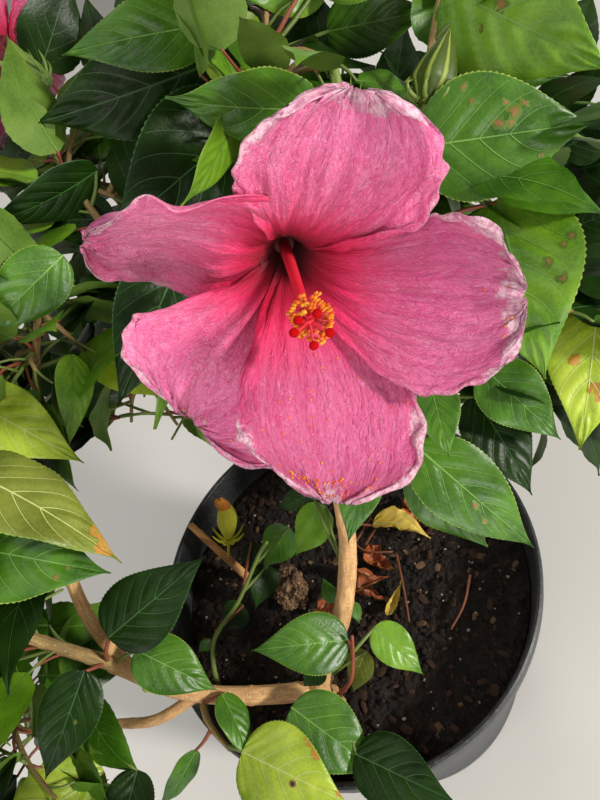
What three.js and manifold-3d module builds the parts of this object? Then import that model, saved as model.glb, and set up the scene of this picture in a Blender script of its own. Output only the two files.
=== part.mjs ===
// Potted hibiscus shrub: nursery pot, potting mix, short trunk, boughs, foliage and blooms.
// Millimetres, +Z up. The origin is the middle of the pot's flat underside.
import * as THREE from "three";
import { mergeVertices } from "three/addons/utils/BufferGeometryUtils.js";
import Module from "manifold-3d";

const wasm = await Module();
wasm.setup();

// ---- driving dimensions ----
const potHeight = 241;
const potTopRadius = 140;
const potFootRadius = 115;
const potWall = 2.4;
const potFloor = 3;
const rimHeight = 16;
const rimStep = 3;
const soilTop = 215;
const gap = 0.3;
const trunkTop = 238;
const trunkFootRadius = 11;
const trunkTopRadius = 7.6;
const leafThickness = 1;
const petalThickness = 1.2;
const petioleRadius = 1.2;
const leafClearance = 8.5;
const limbClearance = 5;
const sightPoint = [32, -204, 650];
const crownMiddle = [0, 20, 390];

const V = (x, y, z) => new THREE.Vector3(x, y, z);
const at = (p) => new THREE.Vector3(...p);
const clamp = (x, a, b) => Math.min(b, Math.max(a, x));
const smooth = (x) => {
  const t = clamp(x, 0, 1);
  return t * t * (3 - 2 * t);
};

// ---- seeded numbers ----
function seeded(seed) {
  let a = seed >>> 0;
  return () => {
    a = (a + 0x6d2b79f5) >>> 0;
    let t = a;
    t = Math.imul(t ^ (t >>> 15), t | 1) >>> 0;
    t = (t ^ (t + Math.imul(t ^ (t >>> 7), t | 61))) >>> 0;
    return ((t ^ (t >>> 14)) >>> 0) / 4294967296;
  };
}

// ---- solids ----
function solidOf(geometry) {
  const bare = geometry.index ? geometry.toNonIndexed() : geometry.clone();
  bare.deleteAttribute("normal");
  bare.deleteAttribute("uv");
  const merged = mergeVertices(bare, 1e-3);
  const kept = [];
  const source = merged.index.array;
  for (let i = 0; i < source.length; i += 3) {
    const [a, b, c] = [source[i], source[i + 1], source[i + 2]];
    if (a !== b && b !== c && a !== c) kept.push(a, b, c);
  }
  const build = (list) =>
    new wasm.Manifold(
      new wasm.Mesh({
        numProp: 3,
        vertProperties: merged.attributes.position.array,
        triVerts: new Uint32Array(list),
      }),
    );
  const made = build(kept);
  if (made.volume() >= 0) return made;
  const turned = [];
  for (let i = 0; i < kept.length; i += 3) turned.push(kept[i], kept[i + 2], kept[i + 1]);
  return build(turned);
}

function joined(list) {
  let rest = list.slice();
  while (rest.length > 1) {
    const next = [];
    for (let i = 0; i < rest.length; i += 2) {
      next.push(i + 1 < rest.length ? rest[i].add(rest[i + 1]) : rest[i]);
    }
    rest = next;
  }
  return rest[0];
}

function largest(solid) {
  const bodies = solid.decompose();
  bodies.sort((a, b) => b.volume() - a.volume());
  return bodies[0];
}

function geometryOf(solid) {
  const mesh = solid.getMesh();
  const geometry = new THREE.BufferGeometry();
  const step = mesh.numProp;
  const points = new Float32Array((mesh.vertProperties.length / step) * 3);
  for (let i = 0; i < points.length / 3; i += 1) {
    for (let k = 0; k < 3; k += 1) points[i * 3 + k] = mesh.vertProperties[i * step + k];
  }
  geometry.setAttribute("position", new THREE.BufferAttribute(points, 3));
  geometry.setIndex(new THREE.BufferAttribute(new Uint32Array(mesh.triVerts), 1));
  geometry.computeVertexNormals();
  return geometry;
}

// The same solid with points nearer than the tolerance made one, or null where that opens it.
function tidied(solid, tolerance) {
  const merged = mergeVertices(geometryOf(solid).deleteAttribute("normal"), tolerance);
  const index = merged.index.array;
  const kept = [];
  const edges = new Map();
  for (let i = 0; i < index.length; i += 3) {
    const face = [index[i], index[i + 1], index[i + 2]];
    if (face[0] === face[1] || face[1] === face[2] || face[0] === face[2]) continue;
    kept.push(...face);
    for (let k = 0; k < 3; k += 1) {
      const a = face[k];
      const b = face[(k + 1) % 3];
      const key = `${Math.min(a, b)}_${Math.max(a, b)}`;
      edges.set(key, (edges.get(key) || 0) + 1);
    }
  }
  if (![...edges.values()].every((n) => n === 2)) return null;
  try {
    const made = new wasm.Manifold(
      new wasm.Mesh({
        numProp: 3,
        vertProperties: merged.attributes.position.array,
        triVerts: new Uint32Array(kept),
      }),
    );
    return made.volume() > 0 ? made : null;
  } catch {
    return null;
  }
}

const clean = (solid) => tidied(solid, 0.02) || tidied(solid, 0.008) || tidied(solid, 0.002);

// Moves every point of a ready geometry by a rule.
function shaped(geometry, rule) {
  const place = geometry.attributes.position;
  for (let i = 0; i < place.count; i += 1) {
    const p = rule(place.getX(i), place.getY(i), place.getZ(i));
    place.setXYZ(i, p.x, p.y, p.z);
  }
  return geometry;
}

// A round limb along points, tapering by a rule of its length's fraction.
function limb(points, radius, sides, steps) {
  const curve = new THREE.CatmullRomCurve3(points, false, "centripetal");
  const frames = curve.computeFrenetFrames(steps, false);
  const tube = new THREE.CylinderGeometry(1, 1, 1, sides, steps);
  return solidOf(
    shaped(tube, (x, y, z) => {
      const t = y + 0.5;
      const i = Math.round(t * steps);
      const r = radius(t);
      return curve
        .getPointAt(t)
        .addScaledVector(frames.normals[i], x * r)
        .addScaledVector(frames.binormals[i], z * r);
    }),
  );
}

const taper = (from, to) => (t) => from + (to - from) * t;

// ---- what is already placed, for the clearances ----
const limbPoints = [];
const leafPoints = [];

function noteLimb(points, from, to) {
  const curve = new THREE.CatmullRomCurve3(points, false, "centripetal");
  const steps = Math.ceil(curve.getLength() / 6);
  for (let i = 0; i <= steps; i += 1) {
    const p = curve.getPointAt(i / steps);
    limbPoints.push([p, from + ((to - from) * i) / steps]);
  }
}

// ---- boughs: [points, radius at the start, radius at the tip, limb it leaves] ----
const boughs = {
  bough_main: {
    path: [[-46, -68, 234], [-9, -42, 262], [14, -24, 300], [30, -5, 352], [43, 18, 400], [50, 32, 432]],
    from: 7, to: 4.4, leaves: "trunk",
  },
  bough_left: {
    path: [[-50, -68, 231], [-88, -58, 251], [-121, -46, 282], [-143, -28, 322]],
    from: 6.6, to: 5, leaves: "trunk",
  },
  bough_left_low: {
    path: [[-112, -50, 273], [-146, -50, 268], [-176, -38, 262], [-204, -28, 266]],
    from: 4, to: 2.8, leaves: "bough_left",
  },
  bough_front: {
    path: [[-48, -74, 226], [-66, -92, 239], [-84, -117, 252], [-104, -146, 280]],
    from: 4.6, to: 3.4, leaves: "trunk",
  },
  bough_back_left: {
    path: [[-136, -34, 309], [-143, -6, 340], [-137, 32, 372], [-116, 68, 402]],
    from: 4.4, to: 3.4, leaves: "bough_left",
  },
  bough_back: {
    path: [[28, -8, 346], [6, 34, 364], [-18, 70, 370], [-40, 98, 364]],
    from: 4.6, to: 3.4, leaves: "bough_main",
  },
  bough_back_up: {
    path: [[38, 10, 380], [24, 46, 396], [2, 86, 418], [-14, 112, 440]],
    from: 4.4, to: 3.2, leaves: "bough_main",
  },
  bough_back_right: {
    path: [[42, 18, 398], [66, 58, 404], [96, 98, 408], [116, 134, 416]],
    from: 4.2, to: 3.2, leaves: "bough_main",
  },
  bough_right: {
    path: [[40, 8, 384], [76, 14, 400], [112, 30, 420], [132, 48, 446]],
    from: 4.2, to: 3.4, leaves: "bough_main",
  },
  bough_right_low: {
    path: [[24, -14, 328], [46, -8, 338], [68, -2, 346]],
    from: 3.8, to: 3, leaves: "bough_main",
  },
  dry_shoot: {
    path: [[-71, 35, soilTop - 8], [-76, 46, 231], [-83, 60, 247], [-92, 79, 262]],
    from: 3.6, to: 2.6, leaves: "soil",
  },
};

// ---- foliage masses ----
// stem: the points of the mass's own stem, from its bough's tip; middle and reach: the room it keeps
// to; twigs and seed: the branching rule's settings; set: leaves whose place is fixed, each as foot,
// tip, width over length and turn about the midrib in degrees.
const masses = {
  foliage_top: {
    bough: "bough_main", stem: [[66, 66, 474], [88, 112, 508], [112, 156, 536]], from: 4, to: 2,
    middle: [96, 132, 520], reach: [92, 84, 66], most: 22, twigs: 7, seed: 11,
    set: {
      overLeft: [[105, 79, 514], [41, 103, 541], 0.5, 20],
      topLeft: [[81, 157, 543], [6, 163, 561], 0.46, -10],
      farLeft: [[77, 155, 528], [-28, 167, 538], 0.5, 10],
      topMid: [[152, 160, 540], [95, 150, 556], 0.6, 0],
      shadeBig: [[83, 140, 498], [-20, 112, 488], 0.66, 0],
      slimLight: [[71, 102, 521], [25, 80, 501], 0.5, 50],
      topBack: [[150, 180, 505], [206, 150, 500], 0.55, 0],
      topNear: [[142, 150, 546], [196, 118, 540], 0.55, 0],
    },
  },
  foliage_right_top: {
    bough: "bough_right", stem: [[146, 62, 476], [168, 86, 504], [196, 112, 530]], from: 3.2, to: 1.8,
    middle: [186, 66, 480], reach: [70, 76, 64], most: 15, twigs: 5, seed: 23,
    bud: [[151, 59, 500], [174, 73, 520], 10.5],
    set: {
      rightUpper: [[139, 50, 488], [211, 16, 478], 0.7, 0],
      rightLower: [[172, 39, 445], [147, -37, 390], 0.7, 0],
      rightTop: [[194, 104, 523], [227, 24, 491], 0.62, 0],
      rightFar: [[180, 110, 500], [238, 70, 470], 0.6, 0],
    },
  },
  foliage_right_low: {
    bough: "bough_right_low", stem: [[104, 6, 362], [142, 12, 376], [186, 14, 388]], from: 2.8, to: 1.8,
    middle: [150, 14, 352], reach: [84, 74, 62], most: 20, twigs: 6, seed: 37,
    set: {
      underSmall: [[101, 2, 382], [89, -35, 362], 0.6, 0],
      underRight: [[134, 2, 370], [152, -44, 337], 0.62, 0],
      underDark: [[127, 6, 344], [129, -50, 303], 0.6, 15],
      pairLong: [[78, -15, 357], [112, -79, 299], 0.48, 0],
      pairShort: [[76, -16, 342], [90, -62, 292], 0.6, -15],
      rightEdge: [[206, 0, 372], [155, -56, 340], 0.6, 10],
      underTip: [[52, -12, 372], [18, -44, 346], 0.5, 0],
    },
  },
  foliage_left: {
    bough: "bough_left", stem: [[-160, -18, 356], [-172, -10, 388], [-182, 2, 424]], from: 4.4, to: 2.2,
    middle: [-190, -6, 384], reach: [76, 76, 82], most: 20, twigs: 6, seed: 41,
    set: {
      limbUp: [[-126, -30, 353], [-55, -24, 371], 0.56, 0],
      limbDown: [[-121, -34, 334], [-90, -66, 304], 0.6, 0],
      limbHang: [[-150, -34, 340], [-195, -72, 318], 0.54, 0],
      paleUnder: [[-128, 22, 470], [-74, -40, 428], 0.42, 25],
      leftNear: [[-151, 6, 436], [-89, -34, 414], 0.6, 0],
    },
  },
  foliage_left_low: {
    bough: "bough_left_low", stem: [[-228, -22, 280], [-246, -14, 304]], from: 2.6, to: 1.6,
    middle: [-214, -36, 288], reach: [66, 76, 50], most: 14, twigs: 4, seed: 53,
    set: {
      bigPale: [[-190, -62, 262], [-262, -84, 296], 0.6, 0],
      limbDark: [[-168, -70, 262], [-196, -118, 262], 0.55, 0],
    },
  },
  foliage_front: {
    bough: "bough_front", stem: [[-112, -166, 316], [-114, -178, 346]], from: 3, to: 1.8,
    middle: [-110, -168, 322], reach: [84, 70, 60], most: 16, twigs: 5, seed: 61,
    set: {},
  },
  foliage_limb: {
    stem: [[-112, -57, 273], [-112, -66, 273], [-110, -76, 268], [-106, -86, 262]], from: 2.4, to: 1.4,
    middle: [-112, -84, 262], reach: [54, 44, 26], twigs: 0, most: 8, seed: 67,
    set: {
      frontBright: [[-98, -91, 267], [-51, -138, 253], 0.72, 0],
      frontSmall: [[-98, -58, 276], [-96, -98, 262], 0.5, 30],
      frontSlim: [[-130, -74, 256], [-168, -92, 244], 0.36, 30],
    },
  },
  foliage_foot: {
    stem: [[-38, -78, 232], [-24, -78, 246], [-14, -70, 262], [-8, -64, 276]], from: 2.6, to: 1.5,
    middle: [-10, -70, 262], reach: [40, 40, 30], most: 8, twigs: 0, seed: 71,
    set: {
      stemLeft: [[-12, -62, 268], [-67, -49, 292], 0.6, 0],
      stemRight: [[6, -60, 262], [20, -94, 240], 0.58, 0],
      frontMid: [[-62, -80, 262], [-30, -130, 234], 0.66, 0],
      frontDark: [[-38, -116, 246], [4, -160, 244], 0.62, 0],
    },
  },
  foliage_back_left: {
    bough: "bough_back_left", stem: [[-104, 90, 434], [-86, 102, 460], [-66, 112, 484]], from: 3.2, to: 1.8,
    middle: [-106, 112, 446], reach: [90, 84, 78], most: 22, twigs: 7, seed: 83,
    set: {
      leftBright: [[-127, 75, 466], [-86, 27, 428], 0.5, 0],
      leftOuter: [[-44, 104, 496], [-102, 88, 486], 0.55, 0],
      leftSmall: [[-70, 84, 452], [-94, 48, 424], 0.45, 30],
    },
  },
  foliage_back_up: {
    bough: "bough_back_up", stem: [[-20, 130, 468], [-26, 156, 494], [-30, 184, 520]], from: 3, to: 1.8,
    middle: [-20, 158, 474], reach: [70, 74, 74], most: 20, twigs: 6, seed: 97,
    set: {
      shadeLong: [[10, 106, 462], [-60, 52, 430], 0.52, 0],
      slimStrip: [[-6, 100, 446], [-46, 40, 410], 0.34, 40],
      underLeft: [[2, 84, 426], [-20, 20, 392], 0.52, 0],
      edgeLeft: [[-10, 158, 505], [-78, 140, 512], 0.45, 35],
      deepLeft: [[-16, 150, 478], [-62, 168, 492], 0.62, 0],
    },
  },
  foliage_back: {
    bough: "bough_back", stem: [[-54, 118, 374], [-64, 142, 388], [-70, 168, 400]], from: 3.2, to: 1.8,
    middle: [-46, 138, 352], reach: [98, 76, 58], most: 22, twigs: 8, seed: 103,
    set: {},
  },
  foliage_back_right: {
    bough: "bough_back_right", stem: [[130, 150, 430], [144, 166, 444], [156, 180, 462]], from: 3, to: 1.8,
    middle: [112, 146, 404], reach: [92, 80, 68], most: 22, twigs: 8, seed: 113,
    set: {},
  },
};

// ---- blooms ----
// heart: where the petals meet; face: the way the bloom looks; each petal as turn round the face,
// how far it opens, curl of its end, roll, sweep, length, half width and cup.
const evenPetals = (length, halfWidth) =>
  [0, 1, 2, 3, 4].map((k) => [k * 72 + 20, 78, 16, 24, 12, length, halfWidth, 0.12]);
const blooms = {
  bloom_front: {
    heart: [56.2, 9, 503.3], face: [-0.141, -0.965, 0.22], columnLength: 72, droop: 1,
    petals: [
      [319, 60, 15, 2, 14, 87, 34, 0.33],
      [43, 91, -21, -54, 27, 87, 51, 0.16],
      [135, 71, 29, 5, -25, 90, 48, 0.24],
      [171, 60, -38, -28, -14, 110, 44, 0.3],
      [234, 67, 1, -3, 28, 103, 36, 0.28],
    ],
    stalk: [[44, 14, 404], [44, 18, 436], [50, 28, 470]], columns: 4, rows: 6,
  },
  bloom_back: {
    heart: [-23, 230, 550], face: [-0.52, 0.72, 0.46], columnLength: 60, droop: 0,
    petals: evenPetals(68, 34),
    mass: "foliage_back_up", stalk: [[-28, 204, 532]], rows: 4,
  },
  bloom_right: {
    heart: [238, 132, 536], face: [0.8, 0.42, 0.43], columnLength: 60, droop: 0,
    petals: evenPetals(66, 33),
    mass: "foliage_right_top", stalk: [[214, 124, 533]], rows: 4,
  },
};

// A petal's middle surface: s along it and v across it, from -1 to 1.
function petalRule(bloom, petal) {
  const [turn, open, curl, roll, sweep, length, halfWidth, cup] = petal;
  const face = at(bloom.face).normalize();
  const up = V(0, 0, 1).addScaledVector(face, -face.z).normalize();
  const side = new THREE.Vector3().crossVectors(face, up);
  const rad = Math.PI / 180;
  const fine = 40;
  const spine = [];
  let place = null;
  let last = null;
  for (let i = 0; i <= fine; i += 1) {
    const s = i / fine;
    const lean = rad * (14 + (open - 14) * smooth(s / 0.55)
      + curl * Math.pow(clamp((s - 0.5) / 0.5, 0, 1), 1.3));
    const angle = rad * (turn + sweep * smooth((s - 0.15) / 0.85));
    const out = up.clone().multiplyScalar(Math.cos(angle)).addScaledVector(side, Math.sin(angle));
    const round = up.clone().multiplyScalar(-Math.sin(angle))
      .addScaledVector(side, Math.cos(angle));
    const along = out.clone().multiplyScalar(Math.sin(lean))
      .addScaledVector(face, Math.cos(lean));
    const normal = out.clone().multiplyScalar(-Math.cos(lean))
      .addScaledVector(face, Math.sin(lean));
    const twist = rad * roll * smooth((s - 0.1) / 0.6);
    const across = round.clone().multiplyScalar(Math.cos(twist))
      .addScaledVector(normal, Math.sin(twist));
    const lift = normal.clone().multiplyScalar(Math.cos(twist))
      .addScaledVector(round, -Math.sin(twist));
    if (i === 0) place = at(bloom.heart).addScaledVector(out, 4);
    else place = place.clone().addScaledVector(last.along, length / fine / 2)
      .addScaledVector(along, length / fine / 2);
    last = { place, along, across, lift };
    spine.push(last);
  }
  return (s, v) => {
    const x = clamp(s, 0, 1) * fine;
    const i = Math.min(fine - 1, Math.floor(x));
    const f = x - i;
    const mix = (key) => spine[i][key].clone().lerp(spine[i + 1][key], f);
    const end = clamp((s - 0.66) / 0.34, 0, 1);
    const outline = (0.08 + 0.92 * smooth(s / 0.75))
      * Math.pow(Math.max(0, 1 - Math.pow(end, 2.6)), 1 / 2.2);
    const w = halfWidth * Math.max(outline, 0.05);
    return mix("place").addScaledVector(mix("across"), v * w)
      .addScaledVector(mix("lift"), cup * w * v * v);
  };
}

function petalSolid(rule, columns, rows, thickness) {
  const plate = new THREE.BoxGeometry(2, 2, 1, columns, 1, rows);
  return solidOf(
    shaped(plate, (x, y, z) => {
      const s = Math.pow(z + 0.5, 0.8);
      const here = rule(s, x);
      const a = rule(Math.min(1, s + 0.02), x).sub(rule(Math.max(0, s - 0.02), x));
      const b = rule(s, Math.min(1, x + 0.05)).sub(rule(s, Math.max(-1, x - 0.05)));
      const normal = new THREE.Vector3().crossVectors(a, b).normalize();
      return here.addScaledVector(normal, (y * thickness) / 2);
    }),
  );
}

// A far bloom's five petals as one thin lobed funnel round its axis.
function funnelSolid(place, petal, rows, thickness) {
  const [turn, open, curl, , sweep, length] = petal;
  const rad = Math.PI / 180;
  const profile = [];
  for (let i = 0; i <= rows; i += 1) profile.push(new THREE.Vector2(1 + i / rows, 0.5));
  for (let i = rows; i >= 0; i -= 1) profile.push(new THREE.Vector2(1 + i / rows, -0.5));
  profile.push(profile[0].clone());
  return solidOf(shaped(new THREE.LatheGeometry(profile, 25), (x, y, z) => {
    const a = Math.atan2(z, x);
    const lobe = 1 - 0.34 * Math.pow(Math.abs(Math.sin(2.5 * (a - rad * (turn + sweep)))), 1.6);
    const reach = (Math.hypot(x, z) - 1) * lobe;
    let [r, h, lean] = [4.4, -0.5, 0];
    for (let i = 0; i <= 20; i += 1) {
      const s = (reach * i) / 20;
      lean = rad * (14 + (open - 14) * smooth(s / 0.55) + curl * Math.max(0, 2 * s - 1));
      r += (length * reach * Math.sin(lean)) / 21;
      h += (length * reach * Math.cos(lean)) / 21;
    }
    const off = y * thickness;
    return place(h + off * Math.sin(lean), r - off * Math.cos(lean), a);
  }));
}

// ---- a leaf blade ----
function leafAxes(foot, tip, facing, turn) {
  const along = tip.clone().sub(foot);
  const length = along.length();
  along.normalize();
  const normal = facing.clone().addScaledVector(along, -facing.dot(along)).normalize();
  const side = new THREE.Vector3().crossVectors(normal, along);
  const a = (turn * Math.PI) / 180;
  const n = normal.clone().multiplyScalar(Math.cos(a)).addScaledVector(side, Math.sin(a));
  const s = new THREE.Vector3().crossVectors(n, along);
  return { foot, along, length, n, s };
}

const bladeOutline = (u) =>
  Math.pow(Math.max(0, Math.sin(Math.PI * Math.pow(clamp(u, 0, 1), 0.62))), 0.7 + 0.6 * u);

function bladePoint(leaf, u, v) {
  const w = 0.5 * leaf.length * leaf.ratio * bladeOutline(u);
  const rise = leaf.arch * leaf.length * 4 * u * (1 - u) + leaf.fold * Math.abs(v) * w;
  return leaf.foot.clone()
    .addScaledVector(leaf.along, leaf.length * u)
    .addScaledVector(leaf.s, v * w)
    .addScaledVector(leaf.n, rise);
}

// A leaf with its stalk is one bent plate: the stalk's two ends, then the blade's stations.
const fineStations = [0.14, 0.42, 0.73, 1];
const plainStations = [0.2, 0.6, 1];

function leafSolid(leaf, stalkRadius) {
  const stations = leaf.name ? fineStations : plainStations;
  const steps = stations.length + 1;
  const stalk = leaf.foot.clone().sub(leaf.root).normalize();
  const stalkSide = new THREE.Vector3().crossVectors(leaf.n, stalk).normalize();
  if (stalkSide.dot(leaf.s) < 0) stalkSide.negate();
  const stalkUp = new THREE.Vector3().crossVectors(stalk, stalkSide).normalize();
  const footSide = stalkSide.clone().add(leaf.s).normalize();
  const footAlong = stalk.clone().add(leaf.along).normalize();
  const footUp = new THREE.Vector3().crossVectors(footAlong, footSide).normalize();
  const plate = new THREE.BoxGeometry(2, 2, 1, 1, 1, steps);
  return solidOf(
    shaped(plate, (x, y, z) => {
      const i = Math.round((z + 0.5) * steps);
      if (i === 0) {
        return leaf.root.clone().addScaledVector(stalkUp, y * stalkRadius);
      }
      if (i === 1) {
        return leaf.foot.clone().addScaledVector(footSide, x * petioleRadius)
          .addScaledVector(footUp, y * petioleRadius * 0.8);
      }
      const u = stations[i - 2];
      const v = i === steps ? 0 : x;
      const w = 0.5 * leaf.length * leaf.ratio * bladeOutline(u);
      const flat = -0.5 * leaf.fold * Math.abs(v) * w;
      return bladePoint(leaf, u, v).addScaledVector(leaf.n, (y * leafThickness) / 2 + flat);
    }),
  );
}

function leafSamples(leaf) {
  const list = [];
  for (let i = 0; i <= 6; i += 1) {
    for (let k = -2; k <= 2; k += 1) list.push(bladePoint(leaf, 0.03 + 0.16 * i, k / 2));
  }
  for (let i = 1; i <= 4; i += 1) list.push(leaf.root.clone().lerp(leaf.foot, i / 4));
  return list;
}

// Lines of sight through the crown's open side: a leaf set by rule stays out of them.
const openings = [
  [[56, -30, 505], 98], [[60, -40, 225], 104], [[20, -20, 300], 62],
  [[-66, -50, 262], 56], [[-120, -30, 320], 60], [[40, -90, 232], 90], [[-70, -90, 240], 60],
];

function inOpening(p) {
  const eye = at(sightPoint);
  for (const [middle, radius] of openings) {
    const line = at(middle).sub(eye);
    const t = p.clone().sub(eye).dot(line) / line.lengthSq();
    if (t > -0.3 && t < 0.96) {
      const away = p.distanceTo(eye.clone().addScaledVector(line, t));
      if (away < radius * Math.max(t, 0.25) + 2) return true;
    }
  }
  return false;
}

function hitsPot(p) {
  const r = Math.hypot(p.x, p.y);
  if (p.z < 226) return true;
  return p.z < 250 && r > 118 && r < 150;
}

function inRoom(mass, p, slack) {
  const x = (p.x - mass.middle[0]) / mass.reach[0];
  const y = (p.y - mass.middle[1]) / mass.reach[1];
  const z = (p.z - mass.middle[2]) / mass.reach[2];
  return x * x + y * y + z * z < slack;
}

function nearLimb(p, room) {
  return limbPoints.some(([q, r]) => p.distanceTo(q) < r + room);
}

function nearLeaf(p, room, own) {
  return leafPoints.some((q) => p.distanceTo(q) < (q.own === own ? room - 2 : room));
}

// ---- pot ----
function potSolid() {
  const slope = (z) => potFootRadius + ((potTopRadius - rimStep - potFootRadius) * z) / potHeight;
  const lip = potHeight - rimHeight;
  const profile = [
    [0, 0], [potFootRadius - 2, 0], [potFootRadius, 2], [slope(lip), lip],
    [potTopRadius, lip + 3], [potTopRadius, potHeight - 2], [potTopRadius - 2, potHeight],
    [potTopRadius - 5, potHeight - 1], [slope(lip) - potWall, lip - 1],
    [slope(potFloor) - potWall - 4, potFloor], [0, potFloor],
  ];
  return solidOf(new THREE.LatheGeometry(profile.map(([r, h]) => new THREE.Vector2(r, h)), 30)
    .rotateX(Math.PI / 2));
}

function soilSolid() {
  const slope = (z) => potFootRadius + ((potTopRadius - rimStep - potFootRadius) * z) / potHeight;
  const lip = potHeight - rimHeight - 1;
  const low = slope(potFloor) - potWall - 4;
  const high = slope(potHeight - rimHeight) - potWall;
  const inner = (z) => low + ((high - low) * (z - potFloor)) / (lip - potFloor) - gap - 0.1;
  const profile = [
    [0, potFloor + gap], [inner(potFloor + gap), potFloor + gap],
    [inner(soilTop - 1.5), soilTop - 1.5], [inner(soilTop) - 6, soilTop], [0, soilTop],
  ];
  return solidOf(new THREE.LatheGeometry(profile.map(([r, h]) => new THREE.Vector2(r, h)), 30)
    .rotateX(Math.PI / 2));
}

// ---- trunk and boughs ----
const trunkPath = [[-47, -74, soilTop + gap], [-47, -72, soilTop + 8], [-46, -69, trunkTop]];
function trunkSolid(extra) {
  const flare = (t) => trunkTopRadius + extra
    + (trunkFootRadius - trunkTopRadius) * Math.pow(1 - t, 2.2);
  const tube = new THREE.CylinderGeometry(1, 1, 1, 12, 6);
  const curve = new THREE.CatmullRomCurve3(trunkPath.map(at), false, "centripetal");
  return solidOf(shaped(tube, (x, y, z) => {
    const t = y + 0.5;
    const p = curve.getPointAt(t);
    const lobes = 1 + 0.14 * Math.pow(1 - t, 2) * Math.cos(5 * Math.atan2(z, x) + 0.6);
    const rise = t > 0.99 ? extra : 0;
    return V(p.x + x * flare(t) * lobes, p.y - z * flare(t) * lobes, p.z + rise);
  }));
}

const parts = {};
const colours = {
  pot: [0x3a3d40, 0.6], soil: [0x2e241c, 0.95], trunk: [0x8d745c, 0.85], bough: [0x9a7f63, 0.8],
  foliage: [0x3d6b2c, 0.45], corolla: [0xe88aae, 0.6], calyx: [0x7c9a48, 0.55],
  column: [0xb8202e, 0.5],
};

function keep(name, solid, kind) {
  parts[name] = { solid: clean(solid) || solid, kind };
}

keep("pot", potSolid(), "pot");
keep("soil", soilSolid(), "soil");
keep("trunk", trunkSolid(0), "trunk");
noteLimb(trunkPath.map(at), 10, 8);

const boughTip = (b) => at(b.path[b.path.length - 1]);
const boughWay = (b) => {
  const curve = new THREE.CatmullRomCurve3(b.path.map(at), false, "centripetal");
  return curve.getTangentAt(1);
};
const boughTaper = (b) => (t) => b.from + (b.to - b.from) * Math.pow(t, 0.8);
for (const [name, b] of Object.entries(boughs)) {
  const points = b.path.map(at);
  b.solid = limb(points, boughTaper(b), 7, 6);
  const longer = [...points];
  longer[longer.length - 1] = boughTip(b).addScaledVector(boughWay(b), gap);
  b.wide = limb(longer, (t) => boughTaper(b)(t) + gap * 1.4, 7, 6);
}
const trunkWide = trunkSolid(gap * 1.2);
const madeWide = [trunkWide];
const ground = solidOf(new THREE.BoxGeometry(200, 200, 60).translate(0, 0, soilTop + gap - 30));
for (const [name, b] of Object.entries(boughs)) {
  let solid = b.solid;
  if (b.leaves === "soil") solid = solid.subtract(ground);
  for (const wide of madeWide) solid = solid.subtract(wide);
  keep(name, largest(solid), "bough");
  madeWide.push(b.wide);
  noteLimb(b.path.map(at), b.from, b.to);
}

// A mass's stem starts inside its bough's tip, and is cut clear of it afterwards.
for (const mass of Object.values(masses)) {
  mass.points = mass.stem.map(at);
  if (!mass.bough) continue;
  const b = boughs[mass.bough];
  mass.points.unshift(boughTip(b).addScaledVector(boughWay(b), -1.5));
}

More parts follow.
